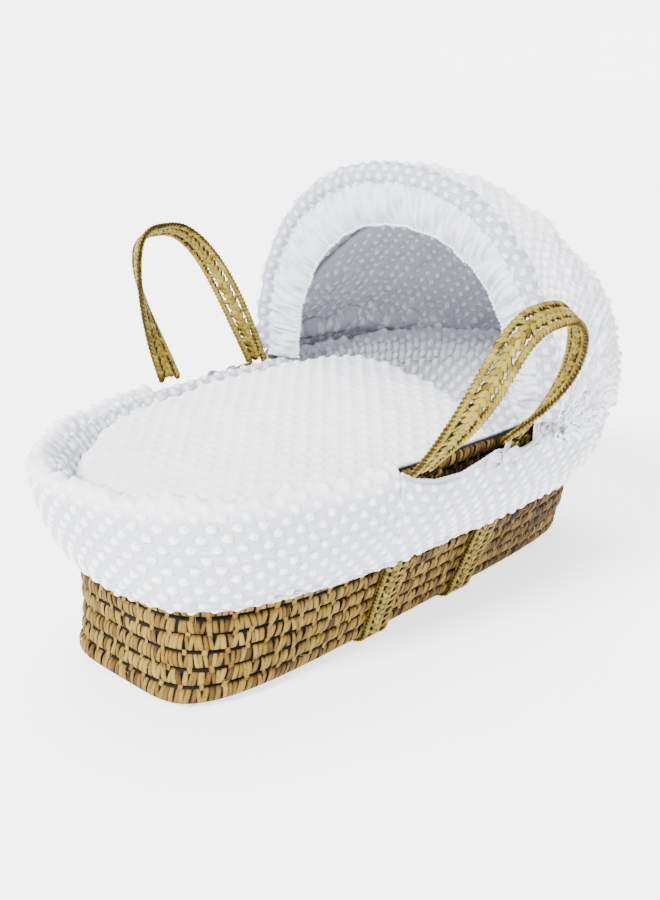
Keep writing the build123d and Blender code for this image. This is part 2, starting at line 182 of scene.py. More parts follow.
def dot_share(u, v, across, down, radius):
    """One at the middle of each dot of a staggered pattern, nothing at its edge, less between dots."""
    row = np.round(v / down)
    shift = (np.abs(row) % 2) * across / 2
    column = np.round((u - shift) / across)
    du = u - shift - column * across
    dv = v - row * down
    return 1 - (du * du + dv * dv) / radius ** 2


def dots(u, v, across=0.025, down=0.0128, radius=0.0053, height=0.0040):
    """Raised round dots in staggered rows, and their painted light and shade: a painted highlight on each
    dot's top and a painted shadow ring at its feet.
    """
    share = dot_share(u, v, across, down, radius)
    top = np.clip(share, 0, 1)
    # painted highlight on the dot tops, painted shadow ring round their feet
    tone = np.where(share > 0, top ** 0.5, 0.0) - 0.24 * np.exp(-((share + 0.18) / 0.30) ** 2)
    return height * top ** 0.65, tone


def normals_of(p, wrap=False):
    du = np.roll(p, -1, 0) - np.roll(p, 1, 0) if wrap else np.gradient(p, axis=0)
    n = np.cross(du, np.gradient(p, axis=1))
    return n / np.maximum(np.linalg.norm(n, axis=-1, keepdims=True), 1e-12)


def grid_faces(nu, nv, start=0, wrap=False):
    index = np.arange(nu * nv).reshape(nu, nv) + start
    a = index if wrap else index[:-1]
    b = np.roll(index, -1, 0) if wrap else index[1:]
    return np.stack([a[:, :-1], b[:, :-1], b[:, 1:], a[:, 1:]], -1).reshape(-1, 4)


def link(name, data):
    obj = bpy.data.objects.new(name, data)
    bpy.context.scene.collection.objects.link(obj)
    return obj


def make(name, verts, faces, material, colour=None, grain=None):
    """A smooth mesh object from points in the basket's own frame, with optional per-point attributes."""
    mesh = bpy.data.meshes.new(name)
    mesh.from_pydata((np.asarray(verts, float).reshape(-1, 3) + MIDDLE).tolist(), [],
                     [list(map(int, f)) for f in faces])
    mesh.update()
    mesh.polygons.foreach_set("use_smooth", [True] * len(mesh.polygons))
    for key, kind, field, values in (("tint", "FLOAT", "value", colour),
                                     ("grain", "FLOAT_VECTOR", "vector", grain)):
        if values is not None:
            attribute = mesh.attributes.new(key, kind, "POINT")
            attribute.data.foreach_set(field, np.asarray(values, np.float32).ravel())
    mesh.materials.append(material)
    return link(name, mesh)


def attach(obj, body, slot, *replaced):
    """Ties a piece to its body, in place of the CAD nodes that it stands for; the slot is not used."""
    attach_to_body(obj, body)
    if replaced:
        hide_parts(*replaced)


def closed_sheet(name, outer, inner, material, step=3, wrap=False, flip=False, tones=None):
    """Two faces of a cloth joined at their edges; the hidden face is step times coarser."""
    nu, nv = outer.shape[:2]
    back = inner[::step, ::step]
    mu, mv = back.shape[:2]
    fine = np.arange(nu * nv).reshape(nu, nv)
    rough = np.arange(mu * mv).reshape(mu, mv) + nu * nv
    faces = grid_faces(nu, nv, 0, wrap).tolist() + grid_faces(mu, mv, nu * nv, wrap)[:, ::-1].tolist()
    edges = [(fine[:, 0], rough[:, 0], False), (fine[:, -1], rough[:, -1], True)]
    if not wrap:
        edges += [(fine[0], rough[0], True), (fine[-1], rough[-1], False)]
    for near, far, turn in edges:
        for k in range(len(far) if wrap else len(far) - 1):
            face = [near[(k * step + i) % len(near)] for i in range(step + 1)]
            face += [far[(k + 1) % len(far)], far[k]]
            faces.append(face if turn else face[::-1])
    if flip:
        faces = [f[::-1] for f in faces]
    tint = None if tones is None else np.concatenate([tones[0].ravel(), tones[1][::step, ::step].ravel()])
    verts = np.concatenate([outer.reshape(-1, 3), back.reshape(-1, 3)])
    return make(name, verts, faces, material, colour=tint)


def dotted_sheet(name, base, normal, pattern, thick, material, flip, wrap=False):
    """A cloth with raised dots on its outer face and a plain inner face, thick metres apart."""
    raised, tone = pattern
    return closed_sheet(name, base + normal * raised[..., None], base - normal * thick, material, wrap=wrap,
                        flip=flip, tones=(tone, 0 * tone))


def fine_count(length, spacing, step=3, wrap=False):
    """Number of grid points that a coarser hidden face fits into."""
    count = max(int(length / spacing) // step, 2) * step
    return count if wrap else count + 1


def run_along(points):
    """Distance along a line at each of its points."""
    return np.concatenate([[0], np.cumsum(np.linalg.norm(np.diff(points, axis=0), axis=1))])


def resample(places, along, points):
    return np.stack([np.interp(places, along, points[:, k]) for k in range(points.shape[1])], -1)


def spline(points, count):
    """Smooth curve through points, evenly spaced along its length."""
    p = np.asarray(points, float)
    p = np.concatenate([[2 * p[0] - p[1]], p, [2 * p[-1] - p[-2]]])
    out = []
    for i in range(1, len(p) - 2):
        t = np.linspace(0, 1, 24, endpoint=False)[:, None]
        a, b, c, d = p[i - 1], p[i], p[i + 1], p[i + 2]
        out.append(0.5 * (2 * b + (c - a) * t + (2 * a - 5 * b + 4 * c - d) * t ** 2
                          + (3 * b - a - 3 * c + d) * t ** 3))
    out = np.concatenate(out + [p[-2:-1]])
    along = run_along(out)
    return resample(np.linspace(0, along[-1], count), along, out)


def tube_faces(count, sides, closed=False):
    """Faces of a tube of rings, joined end to end or capped."""
    index = np.arange(count * sides).reshape(count, sides)
    nxt = np.roll(index, -1, 1)
    if closed:
        return np.stack([index, nxt, np.roll(nxt, -1, 0), np.roll(index, -1, 0)], -1).reshape(-1, 4).tolist()
    faces = np.stack([index[:-1], nxt[:-1], nxt[1:], index[1:]], -1).reshape(-1, 4).tolist()
    return faces + [list(index[0])[::-1], list(index[-1])]


def tube(path, radius, sides=10, squash=1.0, closed=False):
    """Points and faces of a tube along a path; radius may vary along it."""
    count = len(path)
    radius = np.broadcast_to(np.asarray(radius, float), (count,))[:, None, None]
    tangent = unit(np.roll(path, -1, 0) - np.roll(path, 1, 0) if closed else np.gradient(path, axis=0))
    up = np.zeros_like(path)
    guess = np.array([0.0, 0.0, 1.0]) if abs(tangent[0][2]) < 0.9 else np.array([1.0, 0.0, 0.0])
    for i in range(count):
        guess = unit(guess - tangent[i] * np.dot(guess, tangent[i]))
        up[i] = guess
    side = np.cross(tangent, up)
    angle = np.linspace(0, TURN, sides, endpoint=False)[None, :, None]
    verts = path[:, None] + radius * (np.cos(angle) * side[:, None] + squash * np.sin(angle) * up[:, None])
    return verts.reshape(-1, 3), tube_faces(count, sides, closed)


def joined(parts):
    """Several (points, faces) as one."""
    verts, faces, start = [], [], 0
    for v, f in parts:
        verts.append(v.reshape(-1, 3))
        faces += [[i + start for i in face] for face in f]
        start += len(verts[-1])
    return np.concatenate(verts), faces


# ---- materials -----------------------------------------------------------
def node_material(name, values):
    """A material with its shader's own values set, its node tree and its shader."""
    material = bpy.data.materials.new(name)
    material.use_nodes = True
    shader = next(n for n in material.node_tree.nodes if n.type == "BSDF_PRINCIPLED")
    for key, value in values.items():
        shader.inputs[key].default_value = value
    return material, material.node_tree, shader


def linear(red, green, blue, gain=1.0):
    return tuple(gain * ((c / 255 + 0.055) / 1.055) ** 2.4 for c in (red, green, blue)) + (1,)


def add_node(tree, kind, values=None, links=None, **settings):
    """A shader node: its settings, then input values and links by the input's name or number."""
    node = tree.nodes.new(f"ShaderNode{kind}")
    for key, value in settings.items():
        setattr(node, key, value)
    for key, value in (values or {}).items():
        node.inputs[key].default_value = value
    for key, source in (links or {}).items():
        tree.links.new(source, node.inputs[key])
    return node


def object_place(tree):
    return add_node(tree, "TexCoord").outputs["Object"]


def attribute_node(tree, name):
    return add_node(tree, "Attribute", attribute_name=name)


def noise_node(tree, vector, scale, detail=3.0, roughness=0.55):
    return add_node(tree, "TexNoise", {"Scale": scale, "Detail": detail, "Roughness": roughness},
                    {"Vector": vector}).outputs["Fac"]


def math_node(tree, operation, first, number, added=None):
    links = {0: first} if added is None else {0: first, 2: added}
    return add_node(tree, "Math", {1: number}, links, operation=operation).outputs["Value"]


def ramp_node(tree, value, stops):
    node = add_node(tree, "ValToRGB", None, {"Fac": value})
    elements = node.color_ramp.elements
    while len(elements) < len(stops):
        elements.new(0.5)
    for element, (place, colour) in zip(elements, stops):
        element.position = place
        element.color = colour
    return node.outputs["Color"]


def bump_node(tree, height, shader, strength, distance, before=None):
    node = add_node(tree, "Bump", {"Strength": strength, "Distance": distance}, {"Height": height})
    if before is not None:
        tree.links.new(before.outputs["Normal"], node.inputs["Normal"])
    tree.links.new(node.outputs["Normal"], shader.inputs["Normal"])
    return node


def cloth_colour(tree, shader, place, scale, shade, light, light_at, tone):
    """Base colour of a cloth: its faint mottling times the painted light and shade of its relief."""
    stops = [(0.3, linear(*shade)), (light_at, linear(*light))]
    mottle = ramp_node(tree, noise_node(tree, place, scale, 4.0), stops)
    blend = add_node(tree, "MixRGB", {"Fac": 1.0}, {"Color1": mottle, "Color2": tone}, blend_type="MULTIPLY")
    tree.links.new(blend.outputs["Color"], shader.inputs["Base Color"])


# Ramp of painted light and shade for the dots: painted shadow ring, plain cloth, painted highlight on the
# tops.
DOT_LIGHT_SHADE_STOPS = [(0.0, (0.42, 0.43, 0.46, 1)), (0.25, (0.60, 0.61, 0.635, 1)), (0.7, (0.97, 0.97, 0.98, 1)),
              (1.0, (1.0, 1.0, 1.0, 1))]
FLAT_TONE = 0.25        # where cloth between the dots stands on the ramp of painted dot light and shade
# Painted shade for gathered cotton: white where plain, grey at the bottom of a fold or along a seam.
GATHER_SHADE_STOPS = [(0.0, (1.0, 1.0, 1.0, 1)), (1.0, (0.55, 0.56, 0.60, 1))]


def plush_material(name, light, shade, roughness=0.95, sheen=0.06, nap=0.5):
    """Short-pile cloth: painted highlights on the raised dots, ringed by painted shade, faint mottling and a
    fine nap.
    """
    material, tree, shader = node_material(name, {"Roughness": roughness, "Sheen Weight": sheen,
                                                  "Sheen Roughness": 0.6, "Specular IOR Level": 0.15})
    place = object_place(tree)
    # painted light and shade of the dots, read from the tint
    raised = math_node(tree, "ADD", attribute_node(tree, "tint").outputs["Fac"], FLAT_TONE)
    cloth_colour(tree, shader, place, 38.0, shade, light, 0.68, ramp_node(tree, raised, DOT_LIGHT_SHADE_STOPS))
    coarse = bump_node(tree, noise_node(tree, place, 260.0), shader, nap, 0.0006)
    bump_node(tree, noise_node(tree, place, 1400.0, 2.0), shader, nap, 0.0003, coarse)
    return material


def cotton_material(name, light, shade, threads=900.0):
    """Plain woven cotton: crossed fine threads, faint mottling, and painted shade in the bottom of its gathers
    and along its seams.
    """
    material, tree, shader = node_material(name, {"Roughness": 0.88, "Sheen Weight": 0.15,
                                                  "Specular IOR Level": 0.2})
    place = object_place(tree)
    # painted shade in folds and seams, read from the tint
    fold_shade = attribute_node(tree, "tint").outputs["Fac"]
    cloth_colour(tree, shader, place, 30.0, shade, light, 0.7, ramp_node(tree, fold_shade, GATHER_SHADE_STOPS))
    before = None
    for direction in ("X", "Z"):
        weave = add_node(tree, "TexWave", {"Scale": threads, "Distortion": 1.5}, {"Vector": place},
                         bands_direction=direction)
        before = bump_node(tree, weave.outputs["Fac"], shader, 0.25, 0.00025, before)
    return material


def palm_material(name, stops, roughness=0.62):
    """Dried palm leaf: each strip its own tone, with long fibres, flecks and painted shade along its edges."""
    material, tree, shader = node_material(name, {"Roughness": roughness, "Specular IOR Level": 0.12})
    fibre = noise_node(tree, attribute_node(tree, "grain").outputs["Vector"], 1.0, 5.0, 0.65)
    fleck = noise_node(tree, object_place(tree), 90.0, 4.0, 0.6)
    streaked = math_node(tree, "MULTIPLY_ADD", fibre, 0.5, attribute_node(tree, "tint").outputs["Fac"])
    flecked = math_node(tree, "MULTIPLY_ADD", fleck, 0.3, streaked)
    colour = ramp_node(tree, math_node(tree, "SUBTRACT", flecked, 0.4),
                       [(place, linear(*shown)) for place, shown in stops])
    tree.links.new(colour, shader.inputs["Base Color"])
    bump_node(tree, fibre, shader, 0.7, 0.0008)
    return material


def mottled_material(name, values, scale, shade, light):
    """A plain surface with faint mottling."""
    material, tree, shader = node_material(name, values)
    colour = ramp_node(tree, noise_node(tree, object_place(tree), scale), [(0.3, shade), (0.7, light)])
    tree.links.new(colour, shader.inputs["Base Color"])
    return material


# Places on a palm's ramp, with their screen colours and gains.
WALL_STOPS = ((0.0, (48, 28, 5, 0.36)), (0.22, (112, 80, 22, 0.36)), (0.5, (190, 154, 64, 0.36)),
              (0.78, (222, 192, 100, 0.36)), (1.0, (244, 224, 146, 0.36)))
BRAID_STOPS = ((0.0, (66, 46, 8, 0.34)), (0.25, (136, 108, 26, 0.34)), (0.5, (196, 168, 62, 0.36)),
               (0.8, (230, 206, 96, 0.38)), (1.0, (246, 230, 138, 0.40)))
# painted shade: near-black ramp for the cores, seen in the gaps between strips and rows
CORE_SHADE_STOPS = ((0.0, (14, 9, 3, 0.25)), (0.5, (34, 24, 8, 0.25)), (1.0, (66, 48, 20, 0.25)))
palm_strip = palm_material("palm_strip", WALL_STOPS)
shaded_palm_core = palm_material("shaded_palm_core", CORE_SHADE_STOPS)
palm_plait = palm_material("palm_plait", BRAID_STOPS, 0.55)
plush = plush_material("plush_white", (243, 244, 248), (236, 237, 242))
plush_cover = plush_material("plush_coverlet", (244, 245, 248), (238, 239, 243))
plush_liner = plush_material("plush_liner", (238, 239, 244), (230, 232, 238))
plush_hood = plush_material("plush_hood", (243, 244, 248), (235, 237, 242))
# painted shade: a greyer copy of the dotted cloth for the hood's rolled front fold
plush_band_painted_shade = plush_material("plush_band_painted_shade", (214, 217, 226), (202, 206, 216))
cotton = cotton_material("frill_cotton", (226, 228, 232), (214, 216, 222))
tape = cotton_material("cotton_tape", (206, 210, 224), (188, 193, 210), 1200.0)
ticking = cotton_material("mattress_cotton", (240, 240, 241), (230, 231, 233), 700.0)
strip_plastic = plush_material("hoop_strip", (226, 227, 228), (216, 217, 219), 0.5, 0.0, 0.12)
pin_metal = mottled_material("pin_steel", {"Metallic": 1.0, "Roughness": 0.35}, 300.0,
                             linear(150, 152, 155), linear(188, 190, 192))


# ---- palm wall -----------------------------------------------------------
WRAP = math.radians(112)
ROW_GAP = 0.0015
STRIP_WIDTHS = (0.0048, 0.0082)
STRIP_SLANTS = (-0.20, -0.04, 0.08, 0.20)
STRIP_TONE, DARK_CHANCE, DARK_DROP = 0.52, 0.07, 0.22
STITCH_WIDTHS, STITCH_REACHES, STITCH_GAPS = (0.0024, 0.0036), (0.0030, 0.0046), (0.019, 0.030)
STRIP_ACROSS = np.array([-1.0, -0.62, 0.0, 0.62, 1.0])[:, None]


def row_middle(row):
    return BASE_Z + (row + 0.5) * ROW_HEIGHT


def wall_length(z):
    """Length round the wall at a height."""
    return PERIMETER[int(np.clip((z - LEVELS[0]) / LEVEL_STEP, 0, len(LEVELS) - 1))]


def row_shape(phi):
    """Distance outside the wall's face, and height from the row's middle, at an angle round it."""
    half_thick = WALL_THICK / 2
    off = -half_thick + (half_thick - 0.0002) * signed_power(np.cos(phi), 0.75)
    return off, (ROW_HEIGHT / 2 - ROW_GAP) * signed_power(np.sin(phi), 0.85)


def head_shade(x):
    """How much darker the palm is toward the head end."""
    return float(np.interp(x, [-0.15, 0.20, 0.42], [0.0, 0.20, 0.16]))


def wall_strips(rows, name, wrap):
    """Palm strips wound slantwise round each row's core."""
    rng = np.random.default_rng(11)
    verts, faces, tints, grains = [], [], [], []
    start = 0
    angle = np.linspace(-wrap, wrap, 9)[None, :]
    off, rise = row_shape(angle)
    curl = 0.0012 * (1 - STRIP_ACROSS ** 2) - 0.0005
    tuck = np.where(np.abs(angle) > 1.2, curl * np.sign(angle) * 0.6, 0)
    # painted shade: darker along each strip's edges and where it turns into the grooves between rows
    edge = 0.36 * np.abs(STRIP_ACROSS) ** 5 + 0.22 * np.clip(np.abs(angle) / 1.5, 0, 1) ** 3
    for row in rows:
        length = wall_length(row_middle(row))
        place = 0.0
        row_tone = rng.uniform(-0.06, 0.06)
        while place < length:
            width = rng.uniform(*STRIP_WIDTHS)
            slant = rng.choice(STRIP_SLANTS) + rng.uniform(-0.07, 0.07)
            taper = rng.uniform(-0.14, 0.14)
            lift = rng.uniform(0.0, 0.0009)
            s = (place + STRIP_ACROSS * width * (0.500 + taper * rise / ROW_HEIGHT) + slant * rise
                 + rng.uniform(-0.0012, 0.0012)) / length
            wobble = 0.0009 * waves(s * length, rise * 0, 0.09, 100 + row, 4)
            p = wall(s, row_middle(row) + rise + wobble, off + curl * np.cos(angle) + lift + wobble)
            p[..., 2] += tuck
            verts.append(p.reshape(-1, 3))
            faces.append(grid_faces(*p.shape[:2], start))
            start += len(verts[-1])
            tone = STRIP_TONE + row_tone + rng.normal(0, 0.10) - head_shade(p[1, 4, 0])
            if rng.random() < DARK_CHANCE:
                tone -= DARK_DROP
            tints.append((tone - edge).ravel())
            offset = rng.uniform(0, 50) + 0 * edge
            grains.append(np.stack([offset + STRIP_ACROSS * width * 900, offset + angle * 0.9, offset],
                                   -1).reshape(-1, 3))
            place += width * rng.uniform(0.93, 1.06)
    obj = make(name, np.concatenate(verts), np.concatenate(faces), palm_strip,
               colour=np.clip(np.concatenate(tints), 0.02, 1), grain=np.concatenate(grains))
    attach(obj, "basket", "palm_wall")


def strand(path, half_width, half_thick, normal, sides=8):
    """A flat leaf strand along a path: points, faces and each point's place across it."""
    tangent = unit(np.gradient(path, axis=0))
    normal = unit(normal - tangent * (normal * tangent).sum(1, keepdims=True))
    across = np.cross(tangent, normal)
    angle = np.linspace(0, TURN, sides, endpoint=False)
    half_width = np.broadcast_to(half_width, (len(path),))[:, None, None]
    p = (path[:, None] + half_width * signed_power(np.cos(angle), 0.7)[None, :, None] * across[:, None]
         + half_thick * np.sin(angle)[None, :, None] * normal[:, None])
    return p.reshape(-1, 3), tube_faces(len(path), sides), np.tile(np.cos(angle), len(path))


class Weave:
    """Gathers strands into one piece."""

    def __init__(self, seed):
        self.rng = np.random.default_rng(seed)
        self.parts, self.tints, self.grains = [], [], []

    def add(self, path, half_width, half_thick, normal, tone, sides=8):
        v, f, across = strand(path, half_width, half_thick, normal, sides)
        self.parts.append((v, f))
        # painted shade: darker toward each strand's edges
        self.tints.append(np.full(len(v), tone) - 0.34 * np.abs(across) ** 3)
        offset = self.rng.uniform(0, 60)
        run = np.repeat(np.linspace(0, 1.5, len(path)), sides)
        self.grains.append(np.stack([offset + across * float(np.mean(half_width)) * 1400, offset + run,
                                     offset + 0 * run], -1))

    def piece(self, name, material, body, slot, *replaced):
        v, f = joined(self.parts)
        obj = make(name, v, f, material, colour=np.clip(np.concatenate(self.tints), 0.02, 1),
                   grain=np.concatenate(self.grains))
        attach(obj, body, slot, *replaced)


# cores under the strips, coloured near black as painted shade in the gaps between strips and rows
CORE_COUNT, CORE_SIDES = 260, 12
off, rise = row_shape(np.linspace(0, TURN, CORE_SIDES, endpoint=False)[None, :])
rise = rise * (ROW_HEIGHT / 2 + 0.0004) / np.abs(rise).max()
off = -WALL_THICK / 2 + (off + WALL_THICK / 2) * 0.62
s = np.linspace(0, 1, CORE_COUNT, endpoint=False)[:, None]
row_faces = [face[::-1] for face in tube_faces(CORE_COUNT, CORE_SIDES, True)]
core_rows = [(wall(s, row_middle(row) + rise, off), row_faces) for row in range(ROW_COUNT)]
core_verts, core_faces = joined(core_rows)
cores = make("palm_cores", core_verts, core_faces, shaded_palm_core, colour=np.full(len(core_verts), 0.4),
             grain=core_verts * np.array([120.0, 120.0, 500.0]))
attach(cores, "basket", "palm_wall", *[f"coil_row_{i:02d}" for i in range(1, ROW_COUNT)], "rim_braid")

wall_strips(range(0, 7), "palm_wrap_lower", WRAP)
wall_strips(range(7, 11), "palm_wrap_upper", WRAP)
wall_strips(range(11, 12), "palm_wrap_rim", math.radians(179))

# stitches that tie each row to the next
stitches = Weave(23)
for row in range(ROW_COUNT - 1):
    groove_z = BASE_Z + (row + 1) * ROW_HEIGHT
    length = wall_length(groove_z)
    place = stitches.rng.uniform(0, 0.02)
    while place < length:
        t = np.linspace(-1, 1, 5)
        slant = stitches.rng.uniform(-0.3, 0.45)
        reach = stitches.rng.uniform(*STITCH_REACHES)
        z = groove_z + t * reach
        off = -0.0014 - 0.0012 * (1 - t ** 2)
        s = (place + slant * t * reach) / length
        path = wall(s, z, off)
        stitches.add(path, stitches.rng.uniform(*STITCH_WIDTHS), 0.0004, wall(s, z, off + 0.01) - path,
                     stitches.rng.uniform(0.42, 0.70) - head_shade(path[2, 0]))
        place += stitches.rng.uniform(*STITCH_GAPS)
stitches.piece("palm_stitches", palm_strip, "basket", "palm_wall")

# loose fibres standing off the lower rows
FIBRE_COUNT = 150
fibres = Weave(29)
for _ in range(FIBRE_COUNT):
    s0 = fibres.rng.uniform(0, 1)
    z0 = BASE_Z + fibres.rng.uniform(0.004, 0.11)
    t = np.linspace(0, 1, 6)
    run = fibres.rng.uniform(-0.022, 0.022)
    fall = fibres.rng.uniform(-0.012, 0.008)
    path = wall(s0 + t * run / 2.2, np.clip(z0 + t * fall, BASE_Z + 0.001, None),
                0.0004 + fibres.rng.uniform(0.001, 0.006) * t ** 2)
    fibres.add(path, 0.00045, 0.0003, np.broadcast_to([0.1, 0.2, 1.0], path.shape),
               fibres.rng.uniform(0.5, 0.95), 4)
fibres.piece("palm_fibres", palm_strip, "basket", "palm_wall")

# base: coiled mat
COIL_PITCH = 0.0118
mat = Weave(31)
mat_z = (BASE_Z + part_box("base_mat")[1].z) / 2
inset = 0.016
while inset < 0.128:
    path = wall(np.linspace(0, 1, 241), BASE_Z + 0.001, -inset)
    path[:, 2] = mat_z
    mat.add(path, 0.0062, 0.0055, np.broadcast_to([0.0, 0.0, 1.0], path.shape), mat.rng.uniform(0.35, 0.6), 10)
    inset += COIL_PITCH
mat.piece("palm_base", palm_strip, "basket", "palm_wall", "base_mat")

# ---- plaited straps and handles ------------------------------------------
PLAIT_HALF = 0.021
CORD_PLACE = PLAIT_HALF - 0.0036        # middle of each edge cord, from the plait's middle
CORD_PITCH, CHEVRON_PITCH, LOOP_PITCH = 0.0062, 0.0086, 0.0172


def plait(weave, centre, width_dir, normal_dir, density, tone, open_work, narrow=1.0):
    """A flat plait with a wrapped cord at each edge, chevrons in the middle and loops between."""
    along = run_along(centre)
    total = along[-1]
    rng = weave.rng

    def lay(l, v, w, half_width, half_thick, shade, face=1):
        """Adds a strand at l along the plait, v across it and w above it, facing front or back."""
        l = np.clip(l, 0, total)
        place, across, normal = [resample(l, along, line) for line in (centre, width_dir, normal_dir)]
        v, w = np.broadcast_to(v * narrow, l.shape)[:, None], np.broadcast_to(w, l.shape)[:, None]
        weave.add(place + across * v + normal * w, half_width, half_thick, normal * face, shade, 6)

    for side in (-1, 1):                                # edge cords: a core in short slanting turns
        t = np.linspace(0, 1, 5)
        place = 0.0
        while place < total - 0.004:
            for face in (-1, 1):
                lay(place + CORD_PITCH * t * 1.3 * face + (0 if face > 0 else CORD_PITCH),
                    side * (CORD_PLACE + 0.0026 * (2 * t - 1)),
                    face * 0.0034 * np.sin(math.pi * (0.12 + 0.76 * t)),
                    0.0033, 0.0007, tone + rng.normal(0, 0.10), face)
            place += CORD_PITCH * 0.92
        # the cord's core, coloured dark as painted shade between its turns
        lay(np.linspace(0, total, int(total / 0.004)), side * CORD_PLACE, 0.0, 0.0026, 0.0026, 0.24)
    leaf_width = 0.0037 * np.array([0.75, 1, 1, 0.95, 0.7])
    place = CHEVRON_PITCH
    while place < total - CHEVRON_PITCH * 1.4:          # chevrons down the middle
        for side in (-1, 1):
            l = place + 0.0115 * t + rng.uniform(-0.0006, 0.0006)
            for face in (-1, 1):
                lay(l, side * (-0.0012 + 0.0088 * t), face * (0.0014 + 0.0016 * np.sin(math.pi * t)),
                    leaf_width, 0.0008, tone + rng.normal(0, 0.11), face)
        place += CHEVRON_PITCH
    t = np.linspace(0, 1, 7)
    neck = 0.0041 * (1 - 0.45 * np.sin(math.pi * t))
    pitch = LOOP_PITCH / density
    place = pitch * 0.6
    while place < total - pitch:                        # loops out to the cords, holes between them
        for side in (-1, 1):
            l = place + 0.0065 * t + rng.uniform(-0.0008, 0.0008)
            for face in (-1, 1):
                lay(l, side * (0.0055 + (CORD_PLACE - 0.0045) * t),
                    face * (0.0010 + 0.0018 * np.sin(math.pi * t * 0.9)),
                    neck, 0.0008, tone + rng.normal(0, 0.11), face)
        place += pitch
    if not open_work:                                   # backing leaves where the plait lies on the wall, darker as painted shade under the plait
        for side in (-1, 1):
            lay(np.linspace(0.002, total - 0.002, int(total / 0.01)), side * 0.0125, -0.0012,
                0.0052, 0.0006, tone - 0.34)


HANDLE_LOW_Z = RIM_Z - 0.006
FOOT_Y = 0.2312
HANDLE_POINTS = 260
# Height, lean in degrees, half span, middle along X, squareness and outward bow of each settled loop.
HANDLES = {1: (0.224, 31, 0.079, -0.022, 2.8, 0.0), -1: (0.212, 30, 0.086, -0.047, 2.85, 0.020)}


def handle_lines(side):
    """Centre line, width direction and face normal along one handle."""
    height, lean, half_span, centre_x, curve, bow = HANDLES[side]
    lean = math.radians(lean)
    out = np.array([0, side * math.sin(lean), math.cos(lean)])
    across = np.array([0, side * math.cos(lean), -math.sin(lean)])
    foot = np.array([centre_x, side * FOOT_Y, HANDLE_LOW_Z])
    share = np.linspace(0, 1, HANDLE_POINTS)
    x = half_span * signed_power(np.cos(math.pi * share), 2 / curve)
    rise = height * np.abs(np.sin(math.pi * share)) ** (2 / curve)
    bowed = side * bow * np.sin(math.pi * rise / height)
    centre = foot + np.stack([x, bowed, 0 * x], -1) + out * rise[:, None]
    even = spline(centre[::3], HANDLE_POINTS)
    tangent = unit(np.gradient(even, axis=0))
    turn = (math.pi / 2 * np.sin(math.pi * share) ** 1.5)[:, None]
    normal = across * np.cos(turn) + unit(np.cross(across, tangent) * side) * np.sin(turn)
    normal = unit(normal - tangent * (normal * tangent).sum(1, keepdims=True))
    return even, np.cross(normal, tangent), normal


for side, body, tone in ((1, "handle_left", 0.54), (-1, "handle_right", 0.60)):
    weave = Weave(41 + side)
    plait(weave, *handle_lines(side), 0.78, tone, True, 0.78)
    weave.piece(f"{body}_plait", palm_plait, body, "palm_braid", body)


def strap_line(centre_x):
    """A strap's line: down one side of the wall, under the base and up the other."""
    z = np.linspace(RIM_Z - 0.014, BASE_Z + 0.004, 40)
    down = []
    for length, width, squareness, widening in map(wall_size, z):
        share = (1 - abs(centre_x / length) ** squareness) ** (1 / squareness)
        down.append(width * share * (1 + widening * centre_x / length) + 0.0034)
    left = np.stack([0 * z + centre_x, down, z], -1)
    under = np.linspace(down[-1] - 0.004, 0.004 - down[-1], 24)
    under = np.stack([0 * under + centre_x, under, 0 * under + 0.0030], -1)
    right = left[::-1] * np.array([1, -1, 1])
    return spline(np.concatenate([left[::3], under[1:-1:3], right[::3]]), 320)


for x, name, seed in ((STRAP_FOOT_X, "strap_foot", 51), (STRAP_HEAD_X, "strap_head", 57)):
    centre = strap_line(x)
    width = np.broadcast_to([1.0, 0.0, 0.0], centre.shape)
    weave = Weave(seed)
    plait(weave, centre, width, np.cross(width, unit(np.gradient(centre, axis=0))), 1.6, 0.47, False)
    weave.piece(f"{name}_plait", palm_plait, "basket", "palm_braid", name)

# ---- cover ---------------------------------------------------------------
# Cross-sections from the hem, up the outside, over the rim and down inside: stand-off and height in mm.
SKIRT_SIDE = [(8.0, 127.0), (11.8, 125.3), (14.2, 129), (19.5, 142), (25.5, 162), (27.6, 185), (26.0, 208),
              (22.5, 228)]
SKIRT_END = [(5.5, 127.0), (8.0, 125.3), (11.5, 129), (17.5, 142), (25.0, 162), (27.6, 185), (26.2, 208),
             (22.8, 228)]
ROLL = [(17.5, 245), (11.0, 257.5), (3.0, 263.5), (-6.0, 262.5), (-13.0, 257.0), (-17.5, 247), (-19.0, 235),
        (-18.0, 222)]
LINER = [(-15.0, 254), (-17.5, 250), (-18.0, 235), (-17.8, 200), (-17.5, 150), (-17.5, 100), (-17.5, 66)]
# where it shows in the slots the liner laps over the rim
LINER_AT_SLOTS = [(-9.0, 257.5), (-13.5, 257.0), (-17.0, 252.0), (-18.0, 235)] + LINER[3:]
FABRIC_SPACING, FABRIC_THICK = 0.0024, 0.0032
DOT_ACROSS = PERIMETER[-1] / round(PERIMETER[-1] / 0.025)
SEAM_LAP = 0.0016       # share of the rim's length by which a side panel runs under its neighbours
# The slots' lower edge: place along X and height.
SLOT_EDGE = np.array([(-0.155, 0.256), (-0.135, 0.243), (-0.105, 0.234), (-0.06, 0.231), (-0.02, 0.238),
                      (0.005, 0.243), (0.03, 0.238), (0.06, 0.232), (0.085, 0.236), (0.112, 0.252)])
SIDE_LOW_Z, SIDE_TOP_Z = 0.127, 0.228


def end_share(x):
    """Nothing along the sides, one at the ends of the basket."""
    return np.clip((np.abs(x) - 0.20) / 0.16, 0, 1)


def hem_wave(points):
    return 0.0012 * ripples(points * np.array([1, 1, 0]), 0.07, 61, 7)


